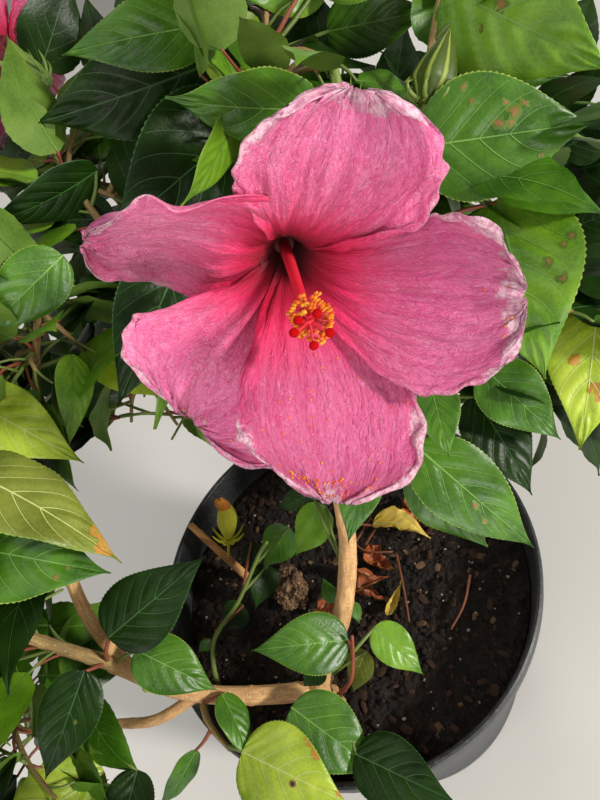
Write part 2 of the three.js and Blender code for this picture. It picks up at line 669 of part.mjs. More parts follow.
// ---- blooms ----
function bloomParts(name, bloom) {
  const face = at(bloom.face).normalize();
  const up = V(0, 0, 1).addScaledVector(face, -face.z).normalize();
  const side = new THREE.Vector3().crossVectors(face, up);
  const heart = at(bloom.heart);
  const place = (h, r, a) => heart.clone().addScaledVector(face, h)
    .addScaledVector(up, r * Math.cos(a)).addScaledVector(side, r * Math.sin(a));
  const cup = (profile, sides) => {
    const lathe = new THREE.LatheGeometry(
      profile.map(([r, h]) => new THREE.Vector2(r, h)), sides);
    return solidOf(shaped(lathe, (x, y, z) => place(y, Math.hypot(x, z), Math.atan2(z, x))));
  };
  // petals, joined round a short ring
  const rules = bloom.petals.map((petal) => petalRule(bloom, petal));
  const plain = Boolean(bloom.mass);
  const petalsOf = (thickness) => (plain
    ? [funnelSolid(place, bloom.petals[0], bloom.rows, thickness)]
    : rules.map((rule) => petalSolid(rule, bloom.columns, bloom.rows, thickness)));
  const thick = petalsOf(petalThickness + 2.4);
  const core = cup([[0, -0.6], [6.4, -0.6], [6.4, 1.6], [0, 1.6]], 8);
  const bore = cup([[0, -2], [3.1, -2], [3.1, 14], [0, 14]], 6);
  const corolla = plain
    ? petalsOf(petalThickness)[0]
    : largest(joined([...petalsOf(petalThickness), core]).subtract(bore));
  keep(`${name}_corolla`, corolla, "corolla");
  const room = joined([...thick, cup([[0, -1], [6.9, -1], [6.9, 2], [0, 2]], 8)]);
  for (const rule of rules) {
    for (let i = 1; i <= 7; i += 1) {
      for (let k = -3; k <= 3; k += 1) leafPoints.push(rule(i / 7, k / 3));
    }
  }
  // staminal column with anthers and five pads
  const steps = 8;
  const reach = bloom.columnLength;
  const bend = (t) => bloom.droop * t * t;
  const axis = [];
  for (let i = 0; i <= 4; i += 1) {
    const t = i / 4;
    axis.push(heart.clone().addScaledVector(face, -0.4 + reach * t)
      .addScaledVector(up, bend(t)));
  }
  const brush = (t) => 2.5 - 0.9 * t + (t > 0.6 && t < 0.99 ? 4.4 - 3 * Math.abs(t - 0.78) : 0);
  const pieces = [limb(axis, brush, 6, steps)];
  for (let i = 0; i < 5 && !plain; i += 1) {
    const a = (i * Math.PI * 2) / 5 + 0.3;
    const foot = heart.clone().addScaledVector(face, reach * 0.97).addScaledVector(up, bend(0.97));
    const end = heart.clone().addScaledVector(face, reach * 1.03).addScaledVector(up, bend(1.03))
      .addScaledVector(up, 6 * Math.cos(a)).addScaledVector(side, 6 * Math.sin(a));
    pieces.push(limb([foot, end], () => 0.8, 3, 1));
    pieces.push(solidOf(new THREE.OctahedronGeometry(2.3).translate(end.x, end.y, end.z)));
  }
  keep(`${name}_column`, largest(joined(pieces)), "column");
  // calyx, outer bracts and stalk
  const green = [cup([[0, -21], [3.4, -21], [5.2, -17], [7.2, -8], [7.6, -1.1], [0, -1.1]], 8)];
  for (let i = 0; i < 5 && !plain; i += 1) {
    const a = (i * Math.PI * 2) / 5 + 0.2;
    const lobe = new THREE.BoxGeometry(2, 2, 1, 1, 1, 1);
    green.push(solidOf(shaped(lobe, (x, y, z) => {
      const t = z + 0.5;
      const w = 5.4 * (1 - 0.86 * t * t);
      const r = 6.3 + 12 * t + (y * 0.8) / 2;
      const turn = (x * w) / (8 + 10 * t);
      return place(-4 + 17 * t - 0.4 * y, r, a + turn);
    })));
  }
  for (let i = 0; i < 5 && !plain; i += 1) {
    const a = (i * Math.PI * 2) / 5;
    const foot = place(-18, 3, a);
    const end = place(-8, 14, a);
    green.push(limb([foot, end], taper(1.2, 0.7), 3, 1));
  }
  const stalk = [...bloom.stalk.map(at), place(-20, 0, 0)];
  if (bloom.mass) {
    const end = new THREE.CatmullRomCurve3(masses[bloom.mass].points, false, "centripetal");
    const way = end.getTangentAt(1);
    stalk.unshift(end.getPointAt(1).addScaledVector(way, gap * 1.3),
      end.getPointAt(1).addScaledVector(way, 6));
  }
  green.push(limb(stalk, taper(2.1, 2.6), 5, 5));
  bloom.green = largest(joined(green).subtract(room));
  bloom.stalkPoints = stalk;
  noteLimb(stalk, 2.4, 2.6);
}
for (const [name, bloom] of Object.entries(blooms)) bloomParts(name, bloom);

// ---- masses ----
function nearestOn(curves, p) {
  let best = null;
  for (const curve of curves) {
    for (let i = 0; i <= 30; i += 1) {
      const q = curve.getPointAt(i / 30);
      const d = q.distanceTo(p);
      if (best === null || d < best.d) best = { d, curve, i };
    }
  }
  return best.curve.getPointAt(clamp(best.i - 4, 0, 30) / 30);
}

const grown = {};
for (const [name, mass] of Object.entries(masses)) {
  const stem = new THREE.CatmullRomCurve3(mass.points, false, "centripetal");
  grown[name] = { stem, curves: [stem], twigs: [], leaves: [] };
  noteLimb(mass.points, mass.from, mass.to);
}

// Leaves whose place is fixed come first.
for (const [name, mass] of Object.entries(masses)) {
  const own = grown[name];
  for (const [key, [foot, tip, ratio, turn]] of Object.entries(mass.set)) {
    const middle = at(foot).lerp(at(tip), 0.5);
    const leaf = leafAxes(at(foot), at(tip), at(sightPoint).sub(middle).normalize(), turn);
    leaf.ratio = ratio;
    leaf.arch = 0.05;
    leaf.fold = 0.12;
    leaf.root = nearestOn([own.stem], at(foot));
    leaf.name = key;
    own.leaves.push(leaf);
    for (const q of leafSamples(leaf)) {
      q.own = name;
      leafPoints.push(q);
    }
    openings.push([middle.toArray(), 0.26 * leaf.length]);
  }
  if (mass.bud) {
    const [foot, tip, radius] = mass.bud;
    noteLimb([at(foot), at(tip)], radius, radius);
    openings.push([at(foot).lerp(at(tip), 0.5).toArray(), 2 * radius]);
  }
}

// Twigs reach from the stem towards evenly spread spots of the mass's room.
for (const [name, mass] of Object.entries(masses)) {
  const own = grown[name];
  const random = seeded(mass.seed);
  for (let k = 0; k < mass.twigs; k += 1) {
    const a = k * 2.399963 + random() * 0.5;
    const h = 0.85 - (1.5 * (k + 0.5)) / mass.twigs;
    const ring = Math.sqrt(1 - h * h);
    const tip = V(
      mass.middle[0] + 0.46 * mass.reach[0] * ring * Math.cos(a),
      mass.middle[1] + 0.46 * mass.reach[1] * ring * Math.sin(a),
      mass.middle[2] + 0.46 * mass.reach[2] * h,
    );
    const from = own.stem.getPointAt(0.35 + 0.6 * random());
    const bend = from.clone().lerp(tip, 0.5);
    bend.z += 6;
    const points = [from, bend, tip];
    const curve = new THREE.CatmullRomCurve3(points, false, "centripetal");
    const along = [];
    for (let i = 2; i <= 8; i += 1) along.push(curve.getPointAt(i / 8));
    const blocked = along.some((p) => inOpening(p) || hitsPot(p) || nearLeaf(p, 5))
      || along.slice(2).some((p) => nearLimb(p, 5));
    if (blocked) continue;
    own.curves.push(curve);
    own.twigs.push(points);
    noteLimb(points, 1.7, 1.1);
  }
}

// Leaves stand along stem and twigs on a spiral, larger below than at the tip.
function ruleLeaf(curve, index, k, count, random) {
  const t = Math.min(1, 0.16 + (0.86 * (k + 0.6)) / count);
  const root = curve.getPointAt(t);
  const grow = curve.getTangentAt(t);
  const spin = k * 2.399963 + index * 1.3 + random() * 0.6;
  const level = V(-grow.y, grow.x, 0);
  if (level.length() < 0.1) level.set(1, 0, 0);
  level.normalize();
  const other = new THREE.Vector3().crossVectors(grow, level);
  const out = level.multiplyScalar(Math.cos(spin)).addScaledVector(other, Math.sin(spin));
  const spread = t > 0.93 ? 0.4 : 1;
  const size = 86 - 30 * t + 16 * random();
  const stalk = 12 + 20 * (1 - t) + 10 * random();
  const way = out.clone().multiplyScalar(spread).addScaledVector(grow, 0.75).normalize();
  const foot = root.clone().addScaledVector(way, stalk);
  const fromMiddle = foot.clone().sub(at(crownMiddle)).normalize();
  const run = out.clone().multiplyScalar(spread).addScaledVector(grow, 0.4)
    .addScaledVector(fromMiddle, 0.6);
  run.z -= 0.25 + 0.25 * random();
  run.normalize();
  const tip = foot.clone().addScaledVector(run, size);
  const facing = V(0, 0, 0.9).addScaledVector(fromMiddle, 0.55).normalize();
  const leaf = leafAxes(foot, tip, facing, (random() - 0.5) * 50);
  leaf.ratio = 0.56 + 0.12 * random();
  leaf.arch = 0.06 + 0.05 * random();
  leaf.fold = 0.1 + 0.16 * random();
  leaf.root = root;
  return leaf;
}

for (let pass = 0; pass < 7; pass += 1) {
  for (const [name, mass] of Object.entries(masses)) {
    const own = grown[name];
    const random = seeded(mass.seed + 1000 + pass);
    own.curves.forEach((curve, index) => {
      const count = Math.max(4, Math.round(curve.getLength() / 7));
      for (let k = 0; k < count; k += 1) {
        const leaf = ruleLeaf(curve, index + pass, k, count, random);
        if (own.leaves.length >= mass.most) continue;
        const samples = leafSamples(leaf);
        const blocked = samples.some((p) => inOpening(p) || hitsPot(p))
          || !inRoom(mass, samples[17], 1.15) || !inRoom(mass, samples[32], 2.1)
          || samples.some((p) => nearLeaf(p, leafClearance, name))
          || samples.slice(0, 35).some((p) => nearLimb(p, limbClearance))
          || samples.slice(36).some((p) => nearLimb(p, 1.5));
        if (blocked) continue;
        own.leaves.push(leaf);
        for (const q of samples) q.own = name;
        leafPoints.push(...samples);
      }
    });
  }
}

// A flower bud on its stalk: pointed above, rounded below.
function budSolid(own, bud) {
  const [foot, tip, radius] = [at(bud[0]), at(bud[1]), bud[2]];
  const way = tip.clone().sub(foot);
  const root = nearestOn([own.stem], foot);
  const belly = (t) => radius * Math.pow(Math.sin(Math.PI * clamp(0.06 + 0.9 * t, 0, 1)), 0.8);
  const body = limb([foot, foot.clone().addScaledVector(way, 0.5), tip], belly, 8, 6);
  return [body, limb([root, foot.clone().addScaledVector(way, 0.1)], () => 2, 5, 2)];
}

function massSolid(mass, own, stalkRadius) {
  const pieces = [limb(mass.points, taper(mass.from, mass.to), 5, 5)];
  if (mass.bud) pieces.push(...budSolid(own, mass.bud));
  for (const points of own.twigs) pieces.push(limb(points, taper(1.9, 1.2), 3, 2));
  for (const leaf of own.leaves) pieces.push(leafSolid(leaf, stalkRadius));
  let solid = joined(pieces);
  for (const wide of madeWide) solid = solid.subtract(wide);
  return largest(solid);
}

for (const [name, mass] of Object.entries(masses)) {
  let solid = null;
  for (let n = 0; n < 8 && !solid; n += 1) {
    solid = clean(massSolid(mass, grown[name], petioleRadius + 0.013 * n));
  }
  keep(name, solid || massSolid(mass, grown[name], petioleRadius), "foliage");
}

for (const [name, bloom] of Object.entries(blooms)) {
  let solid = bloom.green;
  for (const wide of madeWide) solid = solid.subtract(wide);
  keep(`${name}_calyx`, largest(solid), "calyx");
}

// ---- the assembly ----
const shrub = new THREE.Group();
for (const [name, part] of Object.entries(parts)) {
  const [colour, roughness] = colours[part.kind];
  const material = new THREE.MeshStandardMaterial({ color: colour, roughness, metalness: 0 });
  const mesh = new THREE.Mesh(geometryOf(part.solid), material);
  mesh.name = name;
  shrub.add(mesh);
}

export default shrub;
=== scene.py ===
import bpy
import bmesh
import math
from mathutils import Matrix, Vector, noise


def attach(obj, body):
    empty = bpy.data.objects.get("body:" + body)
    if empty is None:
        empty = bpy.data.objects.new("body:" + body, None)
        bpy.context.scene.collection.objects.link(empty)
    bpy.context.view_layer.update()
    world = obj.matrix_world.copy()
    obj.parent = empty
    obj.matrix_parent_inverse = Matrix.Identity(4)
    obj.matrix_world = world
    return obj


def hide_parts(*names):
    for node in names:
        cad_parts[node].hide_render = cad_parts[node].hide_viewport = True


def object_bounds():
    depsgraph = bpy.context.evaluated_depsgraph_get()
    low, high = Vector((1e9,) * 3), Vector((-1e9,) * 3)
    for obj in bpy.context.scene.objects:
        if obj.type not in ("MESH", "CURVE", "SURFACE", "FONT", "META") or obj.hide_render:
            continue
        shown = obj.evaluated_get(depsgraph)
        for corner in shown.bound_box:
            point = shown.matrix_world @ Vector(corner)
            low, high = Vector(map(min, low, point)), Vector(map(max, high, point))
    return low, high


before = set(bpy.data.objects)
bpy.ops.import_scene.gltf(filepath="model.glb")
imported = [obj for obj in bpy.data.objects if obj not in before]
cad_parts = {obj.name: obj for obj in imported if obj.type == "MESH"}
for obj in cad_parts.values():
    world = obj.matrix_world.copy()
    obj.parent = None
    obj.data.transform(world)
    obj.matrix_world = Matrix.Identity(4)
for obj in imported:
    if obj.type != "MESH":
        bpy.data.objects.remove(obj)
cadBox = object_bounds()
scene = bpy.context.scene

# Shapes are worked out in millimetres and scaled to metres when a piece is finished.
# The camera stands where the plant was seen from, looking down into the pot.
view = {
    "place": (0.03166, -0.20370, 0.65016),
    "forward": (0, 0.66523, -0.74664),
    "up": (0.46639, 0.66046, 0.58845),
    "lens": 27,
}
lamps = {
    "key": {"from": (2.5, -2.0, 1.75), "size": 0.44, "power": 112, "tint": (1.0, 0.965, 0.9)},
    "front": {"from": (-0.35, -2.4, 0.62), "size": 1.1, "power": 21, "tint": (1.0, 0.98, 0.95)},
    "top": {"from": (-0.5, -0.3, 2.3), "size": 1.6, "power": 8, "tint": (0.98, 0.99, 1.0)},
    "left": {"from": (-1.8, -0.9, 0.9), "size": 1.6, "power": 14, "tint": (1.0, 0.99, 0.97)},
    "back": {"from": (0.4, 2.1, 1.2), "size": 1.4, "power": 12, "tint": (1.0, 0.99, 0.96)},
}


def makeCamera():
    data = bpy.data.cameras.new("viewCamera")
    data.sensor_width = 36
    data.lens = view["lens"]
    data.clip_start = 0.01
    forward = Vector(view["forward"]).normalized()
    up = Vector(view["up"]).normalized()
    turned = Matrix((forward.cross(up), up, -forward)).transposed().to_4x4()
    eye = bpy.data.objects.new("viewCamera", data)
    eye.matrix_world = Matrix.Translation(view["place"]) @ turned
    scene.collection.objects.link(eye)
    scene.camera = eye


def makeLamps():
    target = Vector((0.03, 0, 0.42))
    for name, lamp in lamps.items():
        data = bpy.data.lights.new(name + "Lamp", "AREA")
        data.shape = "DISK"
        data.size = lamp["size"]
        data.energy = lamp["power"]
        data.color = lamp["tint"]
        held = bpy.data.objects.new(name + "Lamp", data)
        held.location = lamp["from"]
        held.rotation_euler = (target - Vector(lamp["from"])).to_track_quat("-Z", "Y").to_euler()
        scene.collection.objects.link(held)
    world = bpy.data.worlds.new("studio")
    world.use_nodes = True
    world.node_tree.nodes["Background"].inputs[0].default_value = (0.92, 0.91, 0.87, 1)
    world.node_tree.nodes["Background"].inputs[1].default_value = 0.22
    scene.world = world
    scene.view_settings.view_transform = "Standard"


makeCamera()
makeLamps()
print("camera and lamps placed")


# materials
def screen(red, green, blue):
    # a colour as a screen shows it, 0 to 255, made linear
    def one(value):
        part = value / 255
        return part / 12.92 if part <= 0.04045 else ((part + 0.055) / 1.055) ** 2.4
    return (one(red), one(green), one(blue), 1)


class Signal:
    # a socket that takes part in sums, adding Math nodes as it goes
    def __init__(self, finish, socket):
        self.finish = finish
        self.socket = socket

    def math(self, operation, first, second=None):
        values = {0: first} if second is None else {0: first, 1: second}
        return self.finish.node("ShaderNodeMath", {"operation": operation}, values)

    def __add__(self, other):
        return self.math("ADD", self, other)

    def __radd__(self, other):
        return self.math("ADD", other, self)

    def __sub__(self, other):
        return self.math("SUBTRACT", self, other)

    def __rsub__(self, other):
        return self.math("SUBTRACT", other, self)

    def __mul__(self, other):
        return self.math("MULTIPLY", self, other)

    def __rmul__(self, other):
        return self.math("MULTIPLY", other, self)

    def __truediv__(self, other):
        return self.math("DIVIDE", self, other)

    def __abs__(self):
        return self.math("ABSOLUTE", self)

    def fraction(self):
        return self.math("FRACT", self)

    def step(self, low, high):
        # 0 below low, 1 above high, smooth between
        return self.finish.node("ShaderNodeMapRange", {"interpolation_type": "SMOOTHSTEP"},
                                {"Value": self, "From Min": low, "From Max": high})


class Finish:
    # one material: a Principled shader and the nodes that feed it
    def __init__(self, name, **constants):
        self.material = bpy.data.materials.new(name)
        self.material.use_nodes = True
        self.tree = self.material.node_tree
        self.shader = self.tree.nodes["Principled BSDF"]
        for socket, value in constants.items():
            self.shader.inputs[socket.replace("_", " ")].default_value = value

    def node(self, kind, settings, values, output=0):
        made = self.tree.nodes.new(kind)
        for key, value in settings.items():
            setattr(made, key, value)
        for key, value in values.items():
            if isinstance(value, Signal):
                self.tree.links.new(value.socket, made.inputs[key])
            else:
                made.inputs[key].default_value = value
        return Signal(self, made.outputs[output])

    def place(self, scale=(1, 1, 1), source="Object"):
        coordinates = self.node("ShaderNodeTexCoord", {}, {}, source)
        return self.node("ShaderNodeMapping", {}, {"Vector": coordinates, "Scale": scale})

    def strip(self):
        # across and along of the piece's UV map
        coordinates = self.node("ShaderNodeTexCoord", {}, {}, "UV")
        across = self.node("ShaderNodeSeparateXYZ", {}, {"Vector": coordinates})
        return across, Signal(self, across.socket.node.outputs[1])

    def noise(self, vector, scale, detail=2.0, roughness=0.55, distortion=0.0):
        return self.node("ShaderNodeTexNoise", {}, {
            "Vector": vector, "Scale": scale, "Detail": detail,
            "Roughness": roughness, "Distortion": distortion})

    def cells(self, vector, scale, feature="F1"):
        return self.node("ShaderNodeTexVoronoi", {"feature": feature},
                         {"Vector": vector, "Scale": scale})

    def mix(self, factor, first, second):
        return self.node("ShaderNodeMix", {"data_type": "RGBA"}, {0: factor, 6: first, 7: second}, 2)

    def feed(self, socket, signal):
        self.tree.links.new(signal.socket, self.shader.inputs[socket])

    def bump(self, height, strength, distance):
        self.feed("Normal", self.node("ShaderNodeBump", {}, {
            "Height": height, "Strength": strength, "Distance": distance}))


def leafFinish(name, deep, light, roughness=0.31, gloss=0.5):
    # green skin: slow change of tone, a fine net of small veins and a faint grain
    finish = Finish(name, Specular_IOR_Level=gloss)
    here = finish.place()
    slow = finish.noise(here, 38, 3).step(0.3, 0.7)
    net = finish.cells(here, 340, "DISTANCE_TO_EDGE")
    fleck = finish.noise(here, 900, 2).step(0.55, 0.75)
    colour = finish.mix(slow, screen(*deep), screen(*light))
    pale = screen(*[min(255, c * 1.22 + 8) for c in light])
    colour = finish.mix((1 - net.step(0.0, 0.1)) * 0.15 + fleck * 0.1, colour, pale)
    finish.feed("Base Color", colour)
    finish.feed("Roughness", roughness + 0.14 * finish.noise(here, 90, 2))
    finish.bump(net.step(0.0, 0.3) * 0.34 + 0.6 * finish.noise(here, 80, 2), 0.16, 0.0007)
    return finish.material


def plainFinish(name, colour, roughness, relief=300, strength=0.3, **constants):
    finish = Finish(name, **constants)
    here = finish.place()
    grain = finish.noise(here, relief, 3)
    shade = finish.mix(0.35 * finish.noise(here, relief * 0.22, 2), screen(*colour),
                       screen(*[c * 0.68 for c in colour]))
    finish.feed("Base Color", shade)
    finish.feed("Roughness", roughness - 0.1 + 0.2 * grain)
    finish.bump(grain, strength, 0.0006)
    return finish.material


def barkFinish(name, deep, light, fleckColour):
    # tan bark: streaks along the limb, pale raised pores and fine cracks
    finish = Finish(name)
    along = finish.place((13, 64, 1), "UV")
    here = finish.place()
    streak = finish.noise(along, 1.2, 4, 0.6).step(0.3, 0.7)
    patch = finish.noise(here, 60, 3).step(0.35, 0.7)
    pores = 1 - finish.cells(finish.place((9, 520, 1), "UV"), 1.0).step(0.12, 0.3)
    colour = finish.mix(streak, screen(*deep), screen(*light))
    colour = finish.mix(patch * 0.4, colour, screen(*[c * 0.72 for c in deep]))
    finish.feed("Base Color", finish.mix(pores * 0.55, colour, screen(*fleckColour)))
    finish.feed("Roughness", 0.62 + 0.25 * streak)
    finish.bump(streak * 0.7 + pores * 0.5 + 0.4 * finish.noise(here, 900, 3), 0.5, 0.0006)
    return finish.material


# leaf tints; the darkest one also paints shade on the leaves that lie in shade
leafTints = {
    "leafDeepAndShaded": ((14, 34, 6), (32, 60, 12)),
    "leafGreen": ((44, 86, 12), (78, 126, 22)),
    "leafFresh": ((80, 126, 20), (120, 164, 36)),
    "leafLime": ((140, 170, 28), (180, 200, 64)),
    "leafOlive": ((96, 110, 34), (134, 146, 54)),
    "leafYellow": ((196, 160, 48), (226, 194, 92)),
    "leafDead": ((104, 52, 28), (184, 96, 54)),
}
leafMaterials = [leafFinish(name, *tones, 0.31, 0.22 if name == "leafDeepAndShaded" else 0.5)
                 for name, tones in leafTints.items()]
leafExtras = {
    "under": leafFinish("leafUnderside", (74, 108, 32), (106, 136, 52), 0.5, 0.3),
    "vein": leafFinish("leafVein", (96, 142, 58), (126, 170, 78), 0.4, 0.4),
    "veinDeepAndShaded": leafFinish("leafVeinDeepAndShaded", (48, 86, 38), (66, 108, 52), 0.4, 0.4),
    "veinPale": leafFinish("leafVeinPale", (188, 202, 108), (210, 220, 140), 0.4, 0.4),
    "veinDead": leafFinish("leafVeinDead", (196, 126, 74), (216, 156, 96), 0.6, 0.3),
    "rim": leafFinish("leafRim", (112, 142, 50), (152, 174, 74), 0.45, 0.4),
    "worn": plainFinish("leafWornSpot", (150, 112, 62), 0.7, 700),
    "halo": plainFinish("leafPaleSpot", (96, 124, 26), 0.5, 700),
    "turned": plainFinish("leafTurned", (196, 140, 48), 0.55, 500),
    "burnt": plainFinish("leafBurnt", (44, 30, 18), 0.8, 500),
}
leafSet = leafMaterials + list(leafExtras.values())
tintNames = list(leafTints)
fallenTints = ("leafDead", "leafYellow")
extraIndex = {name: len(leafMaterials) + i for i, name in enumerate(leafExtras)}
# veins on the darkest tint are darker too, a painted shade like the blade's
veinOf = {"leafDeepAndShaded": "veinDeepAndShaded", "leafLime": "veinPale", "leafOlive": "veinPale",
          "leafYellow": "veinPale", "leafDead": "veinDead"}
barkTan = barkFinish("barkTan", (204, 150, 98), (246, 198, 138), (250, 222, 176))
barkYoung = barkFinish("barkYoung", (132, 106, 62), (178, 148, 92), (206, 184, 136))
stalkGreen = plainFinish("stalkGreen", (112, 132, 60), 0.45, 500)
stalkRed = plainFinish("stalkRed", (158, 84, 60), 0.45, 500)
twigSet = [barkYoung, stalkGreen, stalkRed]


# making a piece
def finishPiece(name, shape, materials, replaced=(), angle=None):
    # scales the shape to metres and makes it a piece of the plant
    bmesh.ops.scale(shape, vec=(0.001, 0.001, 0.001), verts=shape.verts)
    mesh = bpy.data.meshes.new(name)
    shape.to_mesh(mesh)
    shape.free()
    for material in materials:
        mesh.materials.append(material)
    mesh.shade_smooth()
    if angle is not None:
        mesh.set_sharp_from_angle(angle=math.radians(angle))
    piece = bpy.data.objects.new(name, mesh)
    scene.collection.objects.link(piece)
    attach(piece, "root")
    if replaced:
        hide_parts(*replaced)


def clamp(value, low, high):
    return min(high, max(low, value))


def smooth(value):
    t = clamp(value, 0, 1)
    return t * t * (3 - 2 * t)


def between(first, second, angle):
    # a way turned from first towards second
    return first * math.cos(angle) + second * math.sin(angle)


def rough(x, y, z):
    # smooth noise from about -1 to 1
    return noise.noise(Vector((x, y, z)))


# what each use of the seeded draws adds to, or starts from
seeds = {"sideTwigs": 5000, "leafBends": 9000, "litter": 515, "pollen": 808, "chips": 4242}


def seededNumbers(seed):
    state = seed & 0xffffffff

    def draw():
        nonlocal state
        state = (state + 0x6d2b79f5) & 0xffffffff
        t = state
        t = ((t ^ (t >> 15)) * (t | 1)) & 0xffffffff
        t = (t ^ (t + (((t ^ (t >> 7)) * (t | 61)) & 0xffffffff))) & 0xffffffff
        return ((t ^ (t >> 14)) & 0xffffffff) / 4294967296
    return draw


class Run:
    # a smooth line through points, read by the fraction of its length
    def __init__(self, points):
        self.points = [Vector(p) for p in points]
        self.marks = [0.0]
        last = self.raw(0)
        for i in range(1, 201):
            here = self.raw(i / 200)
            self.marks.append(self.marks[-1] + (here - last).length)
            last = here
        self.length = self.marks[-1]

    def raw(self, t):
        points = self.points
        count = len(points)
        p = (count - 1) * clamp(t, 0, 1)
        i = int(math.floor(p))
        weight = p - i
        if i >= count - 1:
            i = count - 2
            weight = 1.0
        b, c = points[i], points[i + 1]
        a = points[i - 1] if i > 0 else b * 2 - c
        d = points[i + 2] if i + 2 < count else c * 2 - b
        steps = [max((y - x).length, 1e-8) ** 0.5 for x, y in ((a, b), (b, c), (c, d))]
        s0, s1, s2 = steps
        t1 = ((b - a) / s0 - (c - a) / (s0 + s1) + (c - b) / s1) * s1
        t2 = ((c - b) / s1 - (d - b) / (s1 + s2) + (d - c) / s2) * s1
        w = weight
        return b + t1 * w + (3 * (c - b) - 2 * t1 - t2) * w * w + (2 * (b - c) + t1 + t2) * w ** 3

    def fractionOf(self, u):
        target = clamp(u, 0, 1) * self.length
        low, high = 0, 200
        while low <= high:
            i = (low + high) // 2
            if self.marks[i] < target:
                low = i + 1
            elif self.marks[i] > target:
                high = i - 1
            else:
                return i / 200
        i = min(high, 199)
        return (i + (target - self.marks[i]) / (self.marks[i + 1] - self.marks[i])) / 200

    def at(self, u):
        return self.raw(self.fractionOf(u))

    def way(self, u):
        t = self.fractionOf(u)
        return (self.raw(min(1, t + 0.0001)) - self.raw(max(0, t - 0.0001))).normalized()


# templates: small shapes made once, then bent into place for every leaf and limb
def asMesh(shape, name):
    mesh = bpy.data.meshes.new(name)
    shape.to_mesh(mesh)
    shape.free()
    return mesh


def coordinates(mesh):
    flat = [0.0] * (len(mesh.vertices) * 3)
    mesh.vertices.foreach_get("co", flat)
    return [tuple(flat[i:i + 3]) for i in range(0, len(flat), 3)]


def asTemplate(shape, name):
    mesh = asMesh(shape, name)
    return mesh, coordinates(mesh)


def spinProfile(profile, turns, together):
    # radius and height pairs spun into a shell round z
    shape = bmesh.new()
    made = [shape.verts.new((r, 0, z)) for r, z in profile]
    edges = [shape.edges.new(pair) for pair in zip(made, made[1:])]
    bmesh.ops.spin(shape, geom=made + edges, axis=(0, 0, 1), cent=(0, 0, 0), steps=turns,
                   angle=2 * math.pi, use_merge=True)
    bmesh.ops.remove_doubles(shape, verts=shape.verts, dist=together)
    bmesh.ops.recalc_face_normals(shape, faces=shape.faces)
    return shape


def newGrid(columns, rows, size=1):
    shape = bmesh.new()
    bmesh.ops.create_grid(shape, x_segments=columns, y_segments=rows, size=size)
    return shape


def tubeTemplate(sides, steps):
    # a strip rolled up: x and y are the ring's cosine and sine, z is the fraction along
    shape = bmesh.new()
    shape.loops.layers.uv.new("UVMap")
    bmesh.ops.create_grid(shape, x_segments=sides, y_segments=steps, size=1, calc_uvs=True)
    for v in shape.verts:
        turn = math.pi * (v.co.x + 1)
        v.co = Vector((math.cos(turn), math.sin(turn), (v.co.y + 1) / 2))
    bmesh.ops.remove_doubles(shape, verts=shape.verts, dist=1e-4)
    rim = [e for e in shape.edges if e.is_boundary]
    caps = bmesh.ops.holes_fill(shape, edges=rim, sides=sides)["faces"]
    for v in bmesh.ops.poke(shape, faces=caps)["verts"]:
        v.co.z = 1.5 if v.co.z > 0.5 else 0
    bmesh.ops.recalc_face_normals(shape, faces=shape.faces)
    return asTemplate(shape, "tube")


def leafTemplate(columns, stations, tint, pairs=0):
    # a toothed blade of two skins: x across from -1 to 1, y along from 0 to 1, z 0 below, 1 above
    shape = newGrid(columns, stations)
    rimmed = columns > 10
    # leaves of the darkest tint get the darker vein colour on their rim, part of that tint's painted
    # shade
    margin = extraIndex["veinDeepAndShaded" if tint == "leafDeepAndShaded" else "rim"]
    for v in shape.verts:
        along = (v.co.y + 1) / 2
        last = abs(v.co.x) > 0.999
        station = round(along * stations)
        toothed = last and 2 < station < stations - 1
        across = v.co.x
        if toothed:
            across *= 1.018 if station % 2 else 0.99
            along += 0.45 / stations if station % 2 else 0
        elif rimmed and not last and abs(across) > 1 - 2.5 / columns:
            across = math.copysign(0.984, across)
        v.co = Vector((across, along, 1))
    for f in shape.faces:
        edge = rimmed and abs(f.calc_center_median().x) > 0.98
        f.material_index = margin if edge else tintNames.index(tint)
    rim = {v for e in shape.edges if e.is_boundary for v in e.verts}
    for v in rim:
        v.co.z = 0.5
    copied = bmesh.ops.duplicate(shape, geom=shape.verts[:] + shape.edges[:] + shape.faces[:])["geom"]
    under = [g for g in copied if isinstance(g, bmesh.types.BMFace)]
    for v in [g for g in copied if isinstance(g, bmesh.types.BMVert)]:
        v.co.z = 1 - v.co.z
    bmesh.ops.reverse_faces(shape, faces=under)
    for f in under:
        f.material_index = tintNames.index(tint) if tint in fallenTints else extraIndex["under"]
    for e in shape.edges:
        if e.is_boundary:
            e.smooth = False
    bmesh.ops.remove_doubles(shape, verts=shape.verts, dist=1e-5)
    addVeins(shape, pairs, stations, extraIndex[veinOf.get(tint, "vein")])
    return asTemplate(shape, "blade")


veins = {"first": 0.012, "apart": 0.17, "reach": 0.46, "half": 0.0036}


def veinStart(k):
    return veins["first"] + veins["apart"] * k


def veinPath(start, t):
    # where a side vein is, as along for across t
    return start + (veins["reach"] - 0.24 * start) * t ** 1.1 * (1 - 0.12 * t)


def quiltAt(u, v):
    # how far the blade is puffed up between its side veins
    t = min(1, abs(v))
    bow = t ** 1.1 * (1 - 0.12 * t)
    start = (u - veins["reach"] * bow) / (1 - 0.24 * bow)
    lane = (start - veins["first"]) / veins["apart"]
    return math.sin(math.pi * lane) ** 2 * min(1, t / 0.12) * (1 - t * t)


